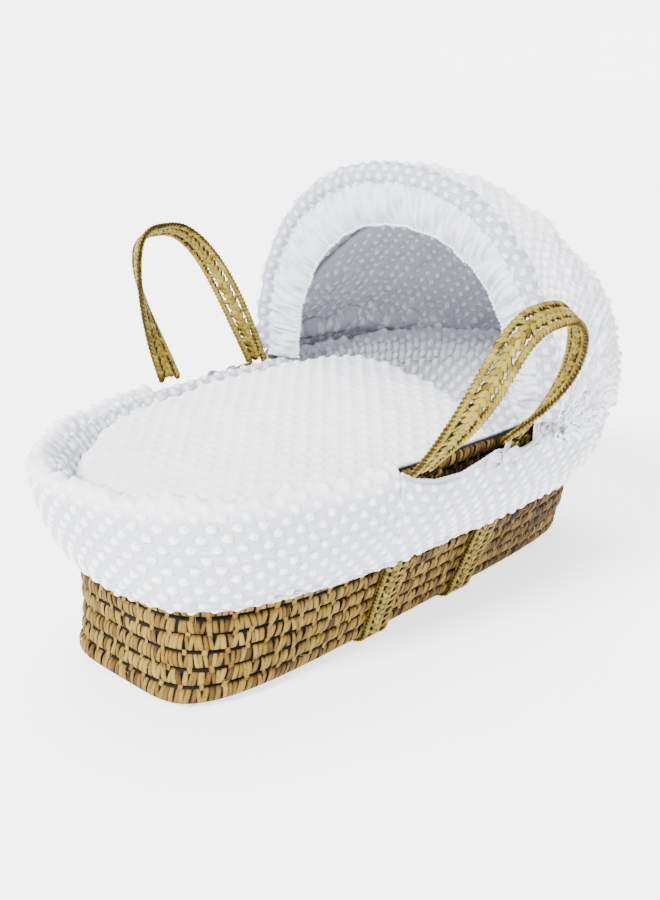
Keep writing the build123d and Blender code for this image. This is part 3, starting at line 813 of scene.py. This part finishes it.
def cover_surface(s, levels_end, levels_side, nv, loose, top_share=None):
    """A strip of the cover: points, and metres along and up for its pattern; loose scales its folds."""
    end = spline(np.array(levels_end) / 1000, nv)
    side = spline(np.array(levels_side) / 1000, nv)
    points = wall(s, RIM_Z, 0.0)
    blend = end_share(points[:, 0])[:, None]
    off = side[None, :, 0] * (1 - blend) + end[None, :, 0] * blend
    z = side[None, :, 1] * (1 - blend) + end[None, :, 1] * blend
    if top_share is not None:
        z = z[:, :1] + (z - z[:, :1]) * top_share(points[:, 0])[:, None]
    length = (s * PERIMETER[-1])[:, None] + 0 * z
    climb = run_along(side)[None, :] + 0 * z
    near_hem = np.exp(-((z - HEM_Z) / 0.020) ** 2)
    around = np.stack([points[:, :1] + 0 * z, points[:, 1:2] + 0 * z, climb * 0.4], -1)
    gathers = ripples(around * np.array([1, 1, 0.6]), 0.022, 201, 12)
    folds = ripples(around, 0.11, 203, 9)
    off = off + 0.0014 * gathers * near_hem + 0.0024 * folds * loose
    z = z + hem_wave(points)[:, None] * near_hem
    base = wall(s[:, None] + 0 * z, np.minimum(z, RIM_Z), off)
    base[..., 2] = z
    return base, length, climb


def cover_piece(name, s_low, s_high, levels_end, levels_side, replaced, top_share=None, lift=None):
    """One panel of the dotted cover, between two shares of the way round the rim."""
    nu = fine_count((s_high - s_low) * PERIMETER[-1], FABRIC_SPACING)
    s = np.linspace(s_low - 0.0004, s_high + 0.0004, nu)
    nv = fine_count(run_along(spline(np.array(levels_side) / 1000, 50))[-1], FABRIC_SPACING)
    base, length, climb = cover_surface(s, levels_end, levels_side, nv, 1.0, top_share)
    if lift is not None:
        base[..., 2] += lift(length, climb)
    normal = normals_of(base)
    level = base[:, nv // 4, 2].clip(max=RIM_Z)
    outward = np.sign((normal[:, nv // 4] * (wall(s, level, 0.1) - wall(s, level, 0.0))).sum(-1).mean())
    normal = normal * outward
    fade = np.clip(climb / 0.008, 0, 1)
    raised, tone = dots(length, climb - 0.004, DOT_ACROSS)
    raised, tone = raised * fade, tone * fade
    # painted highlight: the cloth over the top of the rim roll is painted paler
    rim_roll_highlight = np.clip(1 - np.abs(climb - 0.150) / 0.030, 0, 1)
    tone = tone + 0.55 * rim_roll_highlight * (1 - tone)
    obj = dotted_sheet(name, base, normal, (raised, tone), FABRIC_THICK, plush, outward < 0)
    attach(obj, "basket", "dimple_fabric", *replaced)


def roll_puckers(length, climb):
    """Radiating puckers where the padded roll turns inside."""
    inside = np.clip((climb - 0.125) / 0.03, 0, 1) * np.clip((0.215 - climb) / 0.03, 0, 1)
    return 0.0030 * waves(length, climb * 0.3, 0.026, 71, 10) * inside


def slot_height(x):
    return np.interp(x, SLOT_EDGE[:, 0], SLOT_EDGE[:, 1])


def slot_share(x):
    return (slot_height(x) - SIDE_LOW_Z) / (SIDE_TOP_Z - SIDE_LOW_Z)


def slot_binding(side, name):
    """Tape along the lower edge of a slot."""
    x = np.linspace(SLOT_FOOT_X + 0.001, SLOT_HEAD_X - 0.001, 120)
    known = list(range(0, 120, 6)) + [119]
    s = np.interp(np.arange(120), known, [share_at(x[k], side) for k in known])
    z = slot_height(x) + 0.001
    top_off = np.interp(z, [0.228, 0.245, 0.257], [0.0225, 0.0178, 0.012])
    path = wall(s, np.minimum(z, RIM_Z), top_off - 0.0015)
    path[:, 2] = z
    binding = make(f"slot_binding_{name}_tape", *tube(path, 0.0030 + 0.0003 * np.sin(x * 900), 10, 1.35), tape)
    attach(binding, "basket", "cotton_binding", f"slot_binding_{name}")


for name, low, high in (("foot", S_FOOT, 1 - S_FOOT), ("head", -S_HEAD, S_HEAD)):
    cover_piece(f"cover_{name}", low, high, SKIRT_END + ROLL, SKIRT_SIDE + ROLL,
                [f"skirt_{name}", f"rim_roll_{name}"], lift=roll_puckers)
for side, name, low, high in ((1, "left", S_HEAD, S_FOOT), (-1, "right", 1 - S_FOOT, 1 - S_HEAD)):
    cover_piece(f"cover_side_{name}", low - SEAM_LAP, high + SEAM_LAP, SKIRT_SIDE, SKIRT_SIDE,
                [f"skirt_side_{name}"], top_share=slot_share)
    slot_binding(side, name)

# liner inside the wall
nu, nv = fine_count(PERIMETER[-1], 0.0042, wrap=True), fine_count(0.19, 0.0040)
s = np.arange(nu) / nu
base, length, climb = cover_surface(s, LINER, LINER_AT_SLOTS, nv, 0.6)
normal = normals_of(base, True)
inward = -np.sign((normal[:, 8] * (wall(s, 0.2, 0.1) - wall(s, 0.2, 0.0))).sum(-1).mean())
normal = normal * inward
pattern = dots(length, climb, DOT_ACROSS, radius=0.0062, height=0.0032)
liner = dotted_sheet("cover_liner", base, normal, pattern, 0.003, plush_liner, inward < 0, wrap=True)
attach(liner, "basket", "liner_fabric", "liner_wall")

# bound, elasticated hem
s = np.linspace(0, 1, 900, endpoint=False)
points = wall(s, HEM_Z, 0.0)
at_end = end_share(points[:, 0])
off = 0.0125 * (1 - at_end) + 0.0092 * at_end + 0.0014 * ripples(points * np.array([1, 1, 0]), 0.022, 201, 12)
path = wall(s, HEM_Z - 0.002, off)
path[:, 2] = HEM_Z - 0.0002 + hem_wave(points)
gathered = 0.0027 + 0.0004 * np.sin(s * PERIMETER[-1] * TURN / 0.0085)
hem = make("cover_hem", *tube(path, gathered, 8, 1.3, closed=True), tape)
attach(hem, "basket", "cotton_binding", "hem_elastic")

# ---- ties ----------------------------------------------------------------
TIE_X, TIE_Z = 0.005, 0.238
# Each ribbon of a bow: half width, how far its face looks up, and its points in mm along, out and up.
RIBBONS = (
    (0.0052, 0.2, [(-4, 0, 2), (-14, 3, 7), (-24, 2, 9), (-26, 0, 3), (-15, -1, -1), (-3, 0, 0)]),
    (0.0050, 0.2, [(4, 0, 2), (13, 4, 8), (21, 3, 8), (23, 1, 2), (13, 0, -2), (3, 0, 0)]),
    (0.0050, 0.3, [(-2, 1, -1), (-9, 4, -6), (-17, 3, -10), (-26, 1, -10)]),
    (0.0050, 0.3, [(2, 1, -1), (8, 4, -7), (14, 3, -12), (24, 1, -13)]),
    (0.0042, 0.5, [(3, -1, 3), (14, -6, 9), (26, -12, 14), (34, -18, 17)]),
)
for side, name in ((1, "left"), (-1, "right")):
    knot = np.array([TIE_X, wall(share_at(TIE_X, side), 0.236, 0.030)[1], TIE_Z])
    parts = []
    for half_width, upward, points in RIBBONS:
        path = spline(knot + np.array(points) * np.array([1, side, 1]) / 1000, 26)
        parts.append(strand(path, half_width, 0.0009, np.broadcast_to((0, side, upward), path.shape), 10)[:2])
    t = np.linspace(0, TURN, 22, endpoint=False)
    ball = np.stack([0.0030 * np.cos(t), 0.0055 * np.sin(t) * side, 0.0050 * np.sin(t + 0.4)], -1) + knot
    parts.append(tube(ball, 0.0042, 8, 1.0, closed=True))
    attach(make(f"tie_bow_{name}_cloth", *joined(parts), plush), "basket", "cotton_binding", f"tie_bow_{name}")

# ---- padded pieces -------------------------------------------------------
def closed_block(name, upper, lower, material):
    nu, nv = upper.shape[:2]
    verts = np.concatenate([upper.reshape(-1, 3), lower.reshape(-1, 3)])
    faces = grid_faces(nu, nv).tolist() + [f[::-1] for f in grid_faces(nu, nv, nu * nv).tolist()]
    index = np.arange(nu * nv).reshape(nu, nv)
    loop = list(index[:, 0]) + list(index[-1, 1:]) + list(index[-2::-1, -1]) + list(index[0, -2:0:-1])
    for i, a in enumerate(loop):
        b = loop[(i + 1) % len(loop)]
        faces.append([a, a + nu * nv, b + nu * nv, b])
    return make(name, verts, faces, material)


CLOTH_SETTINGS = {"use_pressure": True, "quality": 4, "tension_stiffness": 12, "compression_stiffness": 12,
                  "bending_stiffness": 0.4}


def modify(obj, kind, **settings):
    """Adds a modifier and applies it."""
    modifier = obj.modifiers.new(kind.lower(), kind)
    for key, value in settings.items():
        setattr(modifier, key, value)
    bpy.ops.object.modifier_apply(modifier=modifier.name)


def vertex_places(obj):
    return np.array([v.co for v in obj.data.vertices], float)


def puff(obj, voxel, pressure, cap, frames=14):
    """Remeshes a padded piece, swells it with cloth simulation, limits the swelling and applies it."""
    bpy.context.view_layer.objects.active = obj
    for other in bpy.context.selected_objects:
        other.select_set(False)
    obj.select_set(True)
    modify(obj, "REMESH", mode="VOXEL", voxel_size=voxel)
    rest = vertex_places(obj)
    cloth = obj.modifiers.new("cloth", "CLOTH")
    for key, value in CLOTH_SETTINGS.items():
        setattr(cloth.settings, key, value)
    cloth.settings.uniform_pressure_force = pressure
    cloth.settings.effector_weights.gravity = 0.0
    cloth.point_cache.frame_end = frames
    for number in range(1, frames + 1):
        bpy.context.scene.frame_set(number)
    bpy.ops.object.modifier_apply(modifier="cloth")
    bpy.context.scene.frame_set(1)
    move = vertex_places(obj) - rest
    size = np.linalg.norm(move, axis=1, keepdims=True)
    swollen = rest + move * np.minimum(1, cap / np.maximum(size, 1e-9))
    obj.data.vertices.foreach_set("co", swollen.astype(np.float32).ravel())
    modify(obj, "SMOOTH", factor=0.5, iterations=4)
    modify(obj, "SUBSURF", levels=1, subdivision_type="CATMULL_CLARK")
    obj.data.polygons.foreach_set("use_smooth", [True] * len(obj.data.polygons))


def push(obj, field):
    """Moves each point along its normal by a relief, and keeps the tone that the field gives, painted light
    and shade where it has dots, as its tint.
    """
    mesh = obj.data
    p = vertex_places(obj)
    n = np.array([v.normal for v in mesh.vertices], float)
    relief, raised = field(p - MIDDLE, n)
    mesh.vertices.foreach_set("co", (p + n * relief[:, None]).astype(np.float32).ravel())
    mesh.attributes.new("tint", "FLOAT", "POINT").data.foreach_set("value", raised.astype(np.float32))
    mesh.update()


def oval_shares(count_x, count_y):
    """Shares along and across an oval pad, closer together toward its edge."""
    along = (1 - np.cos(np.linspace(0, math.pi, count_x))) / 2
    return along, np.sin(np.linspace(-math.pi / 2, math.pi / 2, count_y))


def oval_half_width(x, half_length, half_width, squareness):
    return half_width * np.clip(1 - np.abs(x / half_length) ** squareness, 0.0004, 1) ** (1 / squareness)


COVERLET_THICK = 0.020
COVERLET_HEAD_X = 0.144
COVERLET_INSET_X, COVERLET_INSET_Y = 0.020, 0.014
COVERLET_FAR_Z, COVERLET_NEAR_Z = 0.251, 0.230


def coverlet_top(x, y):
    """Height of the coverlet, lower on the near side and at the foot."""
    along = np.interp(x, [-0.40, -0.34, -0.28, -0.20, -0.06, 0.06, 0.15],
                      [0.196, 0.226, 0.246, 0.260, 0.2735, 0.2735, 0.2690])
    edge = np.where(y > 0, COVERLET_FAR_Z, COVERLET_NEAR_Z)
    return along - np.clip(along - edge, 0, 1) * np.clip(np.abs(y) / 0.198, 0, 1) ** 3.2


def head_edge(y):
    """Where the coverlet's head edge runs across the basket."""
    return np.interp(y, [-0.178, -0.139, -0.07, 0.025, 0.10, 0.140, 0.186],
                     [0.060, 0.085, 0.108, COVERLET_HEAD_X, 0.147, 0.140, 0.090])


def coverlet_relief(q, n):
    """Slow swells, small dimples and the raised dots of the top face, with the dots' painted light and shade
    as its tone.
    """
    raised, tone = dots(q[:, 1] + 0.004, q[:, 0], height=0.0030)
    facing = np.clip(n[:, 2] * 1.6, 0, 1)
    swell = 0.0016 * waves(q[:, 0], q[:, 1], 0.16, 301, 8) + 0.0009 * waves(q[:, 0], q[:, 1], 0.05, 303, 8)
    # painted light and shade of the dots on the upward faces
    return swell + raised * facing, 0.50 + 0.45 * tone * facing


def mattress_relief(q, n):
    return 0.0012 * waves(q[:, 0], q[:, 1], 0.09, 311, 8), 0 * q[:, 0]


wall_half_length, wall_half_width, squareness, _ = wall_size(0.214)
half_length, half_width = wall_half_length - COVERLET_INSET_X, wall_half_width - COVERLET_INSET_Y
u, v = oval_shares(110, 64)
x_line = -half_length + (COVERLET_HEAD_X + half_length) * u
edge_half = oval_half_width(x_line, half_length, half_width, squareness)
yy = v[None, :] * np.minimum(edge_half, np.where(x_line > 0.05, 0.192, 0.30))[:, None]
stretch = (head_edge(yy) + half_length) / (COVERLET_HEAD_X + half_length)
xx = -half_length + (x_line[:, None] + half_length) * stretch
zz = coverlet_top(xx, yy)
coverlet = closed_block("coverlet_quilt", np.stack([xx, yy, zz - 0.003], -1),
                        np.stack([xx, yy, zz - COVERLET_THICK], -1), plush_cover)
puff(coverlet, 0.0052, 3.0, 0.006)
push(coverlet, coverlet_relief)
attach(coverlet, "coverlet", "coverlet_fabric", "coverlet")

MATTRESS_SQUARENESS = 4.3
mat_low, mat_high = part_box("mattress")
half_length, half_width = (mat_high.x - mat_low.x) / 2 - 0.004, (mat_high.y - mat_low.y) / 2 - 0.004
u, v = oval_shares(80, 50)
x_line = half_length * (2 * u - 1)
yy = v[None, :] * oval_half_width(x_line, half_length, half_width, MATTRESS_SQUARENESS)[:, None]
xx = x_line[:, None] + 0 * yy
mattress = closed_block("mattress_pad", np.stack([xx, yy, 0 * xx + mat_high.z - 0.004], -1),
                        np.stack([xx, yy, 0 * xx + mat_low.z + 0.003], -1), ticking)
puff(mattress, 0.009, 2.0, 0.004)
push(mattress, mattress_relief)
attach(mattress, "basket", "mattress_cover", "mattress")


# ---- hood ----------------------------------------------------------------
def hood_point(tilt, along, up, off=0.0):
    """A point in the plane tilted back from upright, off metres behind it."""
    return np.stack([HINGE_X + up * np.sin(tilt) + off * np.cos(tilt), along + 0 * up + 0 * tilt,
                     HINGE_Z + up * np.cos(tilt) - off * np.sin(tilt)], -1)


FRONT_R, FRONT_W = 0.294, 0.261
# Radius and half width of the arches that the band and the frill's two edges follow.
BAND_ARCH, FRILL_OUTER, FRILL_INNER = (0.2835, 0.2505), (0.2765, 0.2435), (0.2165, 0.1900)
ARCH_START = 0.012
MID_TILT = 36.0
PIVOT = np.array([HINGE_X, 0, HINGE_Z])


def arch_xy(angle, radius, half_width):
    return (half_width * signed_power(np.cos(angle), 2 / HOOD_CURVE),
            radius * np.clip(np.sin(angle), 0, 1) ** (2 / HOOD_CURVE))


def arch_angles(count, radius, half_width, low):
    """Angles that space points evenly along an arch from low above the hinge, and its length."""
    start = math.asin((low / radius) ** (HOOD_CURVE / 2))
    angle = np.linspace(start, math.pi - start, 2000)
    y, z = arch_xy(angle, radius, half_width)
    along = np.concatenate([[0], np.cumsum(np.hypot(np.diff(y), np.diff(z)))])
    return np.interp(np.linspace(0, along[-1], count), along, angle), along[-1]


def hood_shell(tilts, radii, widths, depth_run, spacing, seed, hangs):
    """One cloth of the hood over a range of tilts; one that hangs ends level, just under the rim."""
    angles, run = arch_angles(fine_count(0.92, spacing), FRONT_R, FRONT_W, ARCH_START)
    share = np.linspace(0, 1, fine_count(depth_run, spacing))[None, :]
    first, last = math.radians(tilts[0]), math.radians(tilts[-1])
    height_share = (np.sin(angles) ** (2 / HOOD_CURVE))[:, None]
    if hangs:
        last = np.minimum(np.arccos(np.clip(-0.036 / (0.345 * height_share), -1, 1)), last)
    tilt = first + (last - first) * share + 0 * height_share
    radius = np.interp(np.degrees(tilt), tilts, radii)
    y = np.interp(np.degrees(tilt), tilts, widths) * signed_power(np.cos(angles), 2 / HOOD_CURVE)[:, None]
    up = radius * height_share
    length = np.linspace(0, run, len(angles))[:, None] + 0 * tilt
    depth = tilt * radius * 0.92
    near_hoop = 1 - np.exp(-((share - (0 if hangs else 1)) / 0.14) ** 2)
    ripple = near_hoop * (0.0036 * waves(length, depth * 0.5, 0.085, seed, 8)
                          + 0.0022 * waves(length, depth, 0.036, seed + 1, 8))
    if hangs:
        near_end = np.clip((share - 0.66) / 0.34, 0, 1) ** 2
        settled = np.clip(up / 0.09, 0.25, 1)
        ruffle = 0.0042 * settled * waves(length, depth * 0.1, 0.030, seed + 2, 9)
        ripple = ripple + near_end * (ruffle - 0.012)
    else:
        ripple = ripple * (1 - np.exp(-(share / 0.25) ** 2))
    scale = 1 + ripple / np.maximum(np.hypot(y, up), 0.05)
    base = hood_point(tilt, y * scale, up * scale)
    normal = normals_of(base)
    sign = 1 if (normal * (base - PIVOT)).sum() > 0 else -1
    return base, normal * sign, length, depth, tilt, sign


def inner_folds(length, tilt, seed):
    """Loose lining folds fanning out from the hinges, standing in from the cloth."""
    middle = length[-1:] / 2
    fan = tilt * 0.20 + 0.10 * np.abs(length - middle) / middle
    lift = np.clip(waves(fan, length * 0.10, 0.085, seed, 5) - 0.1, 0, 2)
    return 0.0120 * lift * np.clip(tilt / 0.35, 0, 1) * np.clip((2.15 - tilt) / 0.3, 0, 1)


def shell_piece(name, shell, thick, replaced):
    """A dotted cloth of the hood, in place of the CAD parts that it replaces."""
    base, normal, length, depth, tilt, sign = shell
    outside, tone_out = dots(length, depth)
    inside, tone_in = dots(length + 0.006, depth, radius=0.0048, height=0.0036)
    # painted light and shade of the dots; the outside face is painted paler and the inside face is painted
    # shaded
    obj = closed_sheet(name, base + normal * outside[..., None],
                       base - normal * (thick + inside + inner_folds(length, tilt, 451))[..., None],
                       plush_hood, step=1, flip=sign < 0, tones=(0.38 + 0.62 * tone_out, 0.7 * tone_in))
    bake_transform(obj)
    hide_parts(*replaced)


front_shell = hood_shell([0.2, 12, 24, MID_TILT + 1.5], [0.2935, 0.2915, 0.2900, 0.2925],
                         [0.2605, 0.2590, 0.2575, 0.2585], 0.19, 0.0026, 401, False)
half_tilt = math.radians(MID_TILT / 2)
reach = 0.290 * math.sin(half_tilt)
shell_piece("hood_cover_front", front_shell, 0.0030,
            ["hood_panel_front", "hood_panel_mid"])
back_shell = hood_shell([MID_TILT - 0.5, 44, 54, 68, 84, 99, 128],
                        [0.2925, 0.2935, 0.306, 0.324, 0.348, 0.372, 0.372],
                        [0.2580, 0.2585, 0.262, 0.262, 0.258, 0.252, 0.250], 0.36, 0.0033, 411, True)
shell_piece("hood_cover_back", back_shell, 0.0034,
            ["hood_back"])

# scalloped elastic hem round the back of the hood
scallops = 0.0034 + 0.0011 * np.sin(back_shell[2][:, -1] * TURN / 0.011)
back_hem = make("hood_back_hem", *tube(back_shell[0][:, -1], scallops, 8), tape)
attach(back_hem, "basket", "cotton_binding", "hood_back_elastic")

# front fold of the hood: dotted cloth rolled over the front hoop
BAND_RADIUS = 0.0120
angles, run = arch_angles(fine_count(0.93, FABRIC_SPACING), 0.284, 0.2505, ARCH_START)
psi = np.linspace(math.radians(-60), math.radians(215), fine_count(0.058, FABRIC_SPACING))[None, :]
y0, z0 = arch_xy(angles, *BAND_ARCH)
tangent = unit(np.stack([np.gradient(y0), np.gradient(z0)], -1))
radial = np.stack([tangent[:, 1], -tangent[:, 0]], -1)
radial *= np.sign((radial * np.stack([y0, z0], -1)).sum(-1))[:, None]
length = np.linspace(0, run, len(angles))[:, None]
size = BAND_RADIUS + 0.0010 * waves(length, psi * 0.01, 0.03, 421, 8)
along = y0[:, None] + radial[:, :1] * size * np.cos(psi)
up = z0[:, None] + radial[:, 1:] * size * np.cos(psi)
base = hood_point(0 * up, along, up, -0.0025 - size * np.sin(psi))
normal = normals_of(base)
centre = hood_point(0 * z0, y0, z0, -0.0025 + 0 * z0)[:, None]
sign = np.sign((normal * (base - centre)).sum())
normal = normal * sign
arc = psi * BAND_RADIUS + 0 * up
pattern = dots(length + 0 * arc, arc, 0.019, 0.0115, radius=0.0048, height=0.0034)
band = dotted_sheet("hood_front_fold", base, normal, pattern, 0.0025, plush_band_painted_shade, sign < 0)
attach(band, "hood_front", "dimple_fabric", "hood_front_band")

# ruched frill in the mouth, from its sewn edge (across 0) to its elastic edge (across 1)
angles, run = arch_angles(fine_count(0.90, 0.0017), 0.276, 0.243, 0.004)
across = np.linspace(0, 1, fine_count(0.064, 0.0034))[None, :]
outer_y, outer_z = arch_xy(angles, *FRILL_OUTER)
inner_y, inner_z = arch_xy(angles, *FRILL_INNER)
length = np.linspace(0, run, len(angles))[:, None]
gather = 1.2 * np.abs(waves(length, across * 0.010, 0.019, 431, 10)) - 0.6
fine = waves(length, across * 0.012, 0.0085, 437, 8)
long_fold = waves(length, across * 0.03, 0.034, 433, 8)
arch = np.sin(math.pi * across)
body = 0.35 + arch ** 0.6
depth = -0.0036 * gather * body + 0.0011 * fine * body + 0.0022 * long_fold * arch
near_foot = np.exp(-(outer_z / 0.065) ** 2)[:, None]
depth = depth + near_foot * 0.0055 * waves(length, across * 0.07, 0.024, 439, 9) * arch
scale = 1 + 0.0012 * waves(length, 0 * across, 0.008, 435, 6) * across ** 3 / 0.2
y = outer_y[:, None] * (1 - across) + inner_y[:, None] * across
z = outer_z[:, None] * (1 - across) + inner_z[:, None] * across
base = hood_point(0 * z, y * scale, z * scale, -0.0035 + 0.010 * across ** 2 - 0.0075 * arch ** 0.8 + depth)
normal = normals_of(base)
sign = -1 if normal[..., 0].sum() > 0 else 1
# painted shade: darker at the bottom of the gathers' folds and along the sewn and elastic edges
seam_shade = np.exp(-(across / 0.035) ** 2) + np.exp(-((1 - across) / 0.03) ** 2)
pinch_shade = 0.62 * np.exp(-(((gather + 0.6) / 0.28) ** 2)) + 0.40 * np.clip(-fine, 0, 1)
fold_shade = np.clip(pinch_shade + 0.6 * seam_shade, 0, 1)
frill = closed_sheet("hood_frill_cotton", base, base - normal * sign * 0.0016, cotton, flip=sign < 0,
                     tones=(fold_shade, fold_shade))
attach(frill, "hood_front", "frill_cotton", "hood_frill")
elastic = 0.0021 + 0.0010 * np.sin(length[:, 0] * TURN / 0.0068)
frill_edge = make("frill_elastic_edge", *tube(base[:, -1], elastic, 8), cotton)
attach(frill_edge, "hood_front", "cotton_binding", "frill_elastic")

# cloth casings over the hoops
for name, tilt, radius, half_width, body in (("hood_casing_front", 0.0, 0.2745, 0.2415, "hood_front"),
                                             ("hood_casing_mid", MID_TILT, 0.2800, 0.2470, "hood_mid")):
    angles, run = arch_angles(300, radius, half_width, 0.05)
    y, z = arch_xy(angles, radius, half_width)
    along = np.linspace(0, run, 300)
    path = hood_point(math.radians(tilt) + 0 * z, y, z)
    casing = make(name, *tube(path, 0.0056 + 0.0006 * waves(along, 0 * along, 0.02, 441, 6)), plush)
    attach(casing, body, "dimple_fabric")

for node, material in (("hood_hoop_front", strip_plastic), ("hood_hoop_mid", strip_plastic),
                       ("hood_hinge_tabs", strip_plastic), ("hood_hinge_pins", pin_metal)):
    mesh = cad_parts[node].data
    mesh.materials.clear()
    mesh.materials.append(material)

# ---- floor, light and camera ---------------------------------------------
# A flat disc that rises into a wide dish, so that no horizon shows: radius and height of its rings.
FLOOR_RINGS, FLOOR_SIDES = ((5, 0), (9, 0.3), (40, 8.0)), 64
floor_mesh = bpy.data.meshes.new("floor")
turns = np.linspace(0, TURN, FLOOR_SIDES, endpoint=False)
floor_points = np.concatenate([np.stack([r * np.cos(turns), r * np.sin(turns), 0 * turns + z], -1)
                               for r, z in FLOOR_RINGS])
floor_faces = [list(range(FLOOR_SIDES))]
for low in (0, FLOOR_SIDES):
    high = low + FLOOR_SIDES
    for i in range(FLOOR_SIDES):
        ahead = (i + 1) % FLOOR_SIDES
        floor_faces.append([low + i, high + i, high + ahead, low + ahead])
floor_mesh.from_pydata(floor_points.tolist(), [], floor_faces)
floor_mesh.materials.append(mottled_material(
    "floor_pale", {"Roughness": 0.9, "Emission Color": (1.0, 1.0, 1.0, 1), "Emission Strength": 2.0}, 3.0,
    (0.92, 0.92, 0.92, 1), (0.94, 0.94, 0.94, 1)))
link("floor", floor_mesh)

world = bpy.data.worlds.new("studio")
world.use_nodes = True
world.node_tree.nodes["Background"].inputs["Color"].default_value = (0.94, 0.965, 1.0, 1)
world.node_tree.nodes["Background"].inputs["Strength"].default_value = 0.9
bpy.context.scene.world = world

for name, toward, power, spread in (("key", (-0.74, -0.05, 0.66), 8.4, 0.25),
                                    ("top", (0.20, 0.25, 0.95), 3.4, 0.6)):
    light = bpy.data.lights.new(name, "SUN")
    light.energy = power
    light.angle = spread
    link(name, light).rotation_euler = Vector(toward).to_track_quat("Z", "Y").to_euler()

camera = bpy.data.cameras.new("camera")
camera.lens = 47.20
camera.sensor_width = 36.0
camera.clip_start, camera.clip_end = 0.05, 100
camera_obj = link("camera", camera)
camera_obj.location = (-1.06381 + MID_X, -1.00576 + MID_Y, 0.7126)
camera_obj.rotation_euler = (math.radians(90 - 19.6712), 0, math.radians(-45.7778))
bpy.context.scene.camera = camera_obj
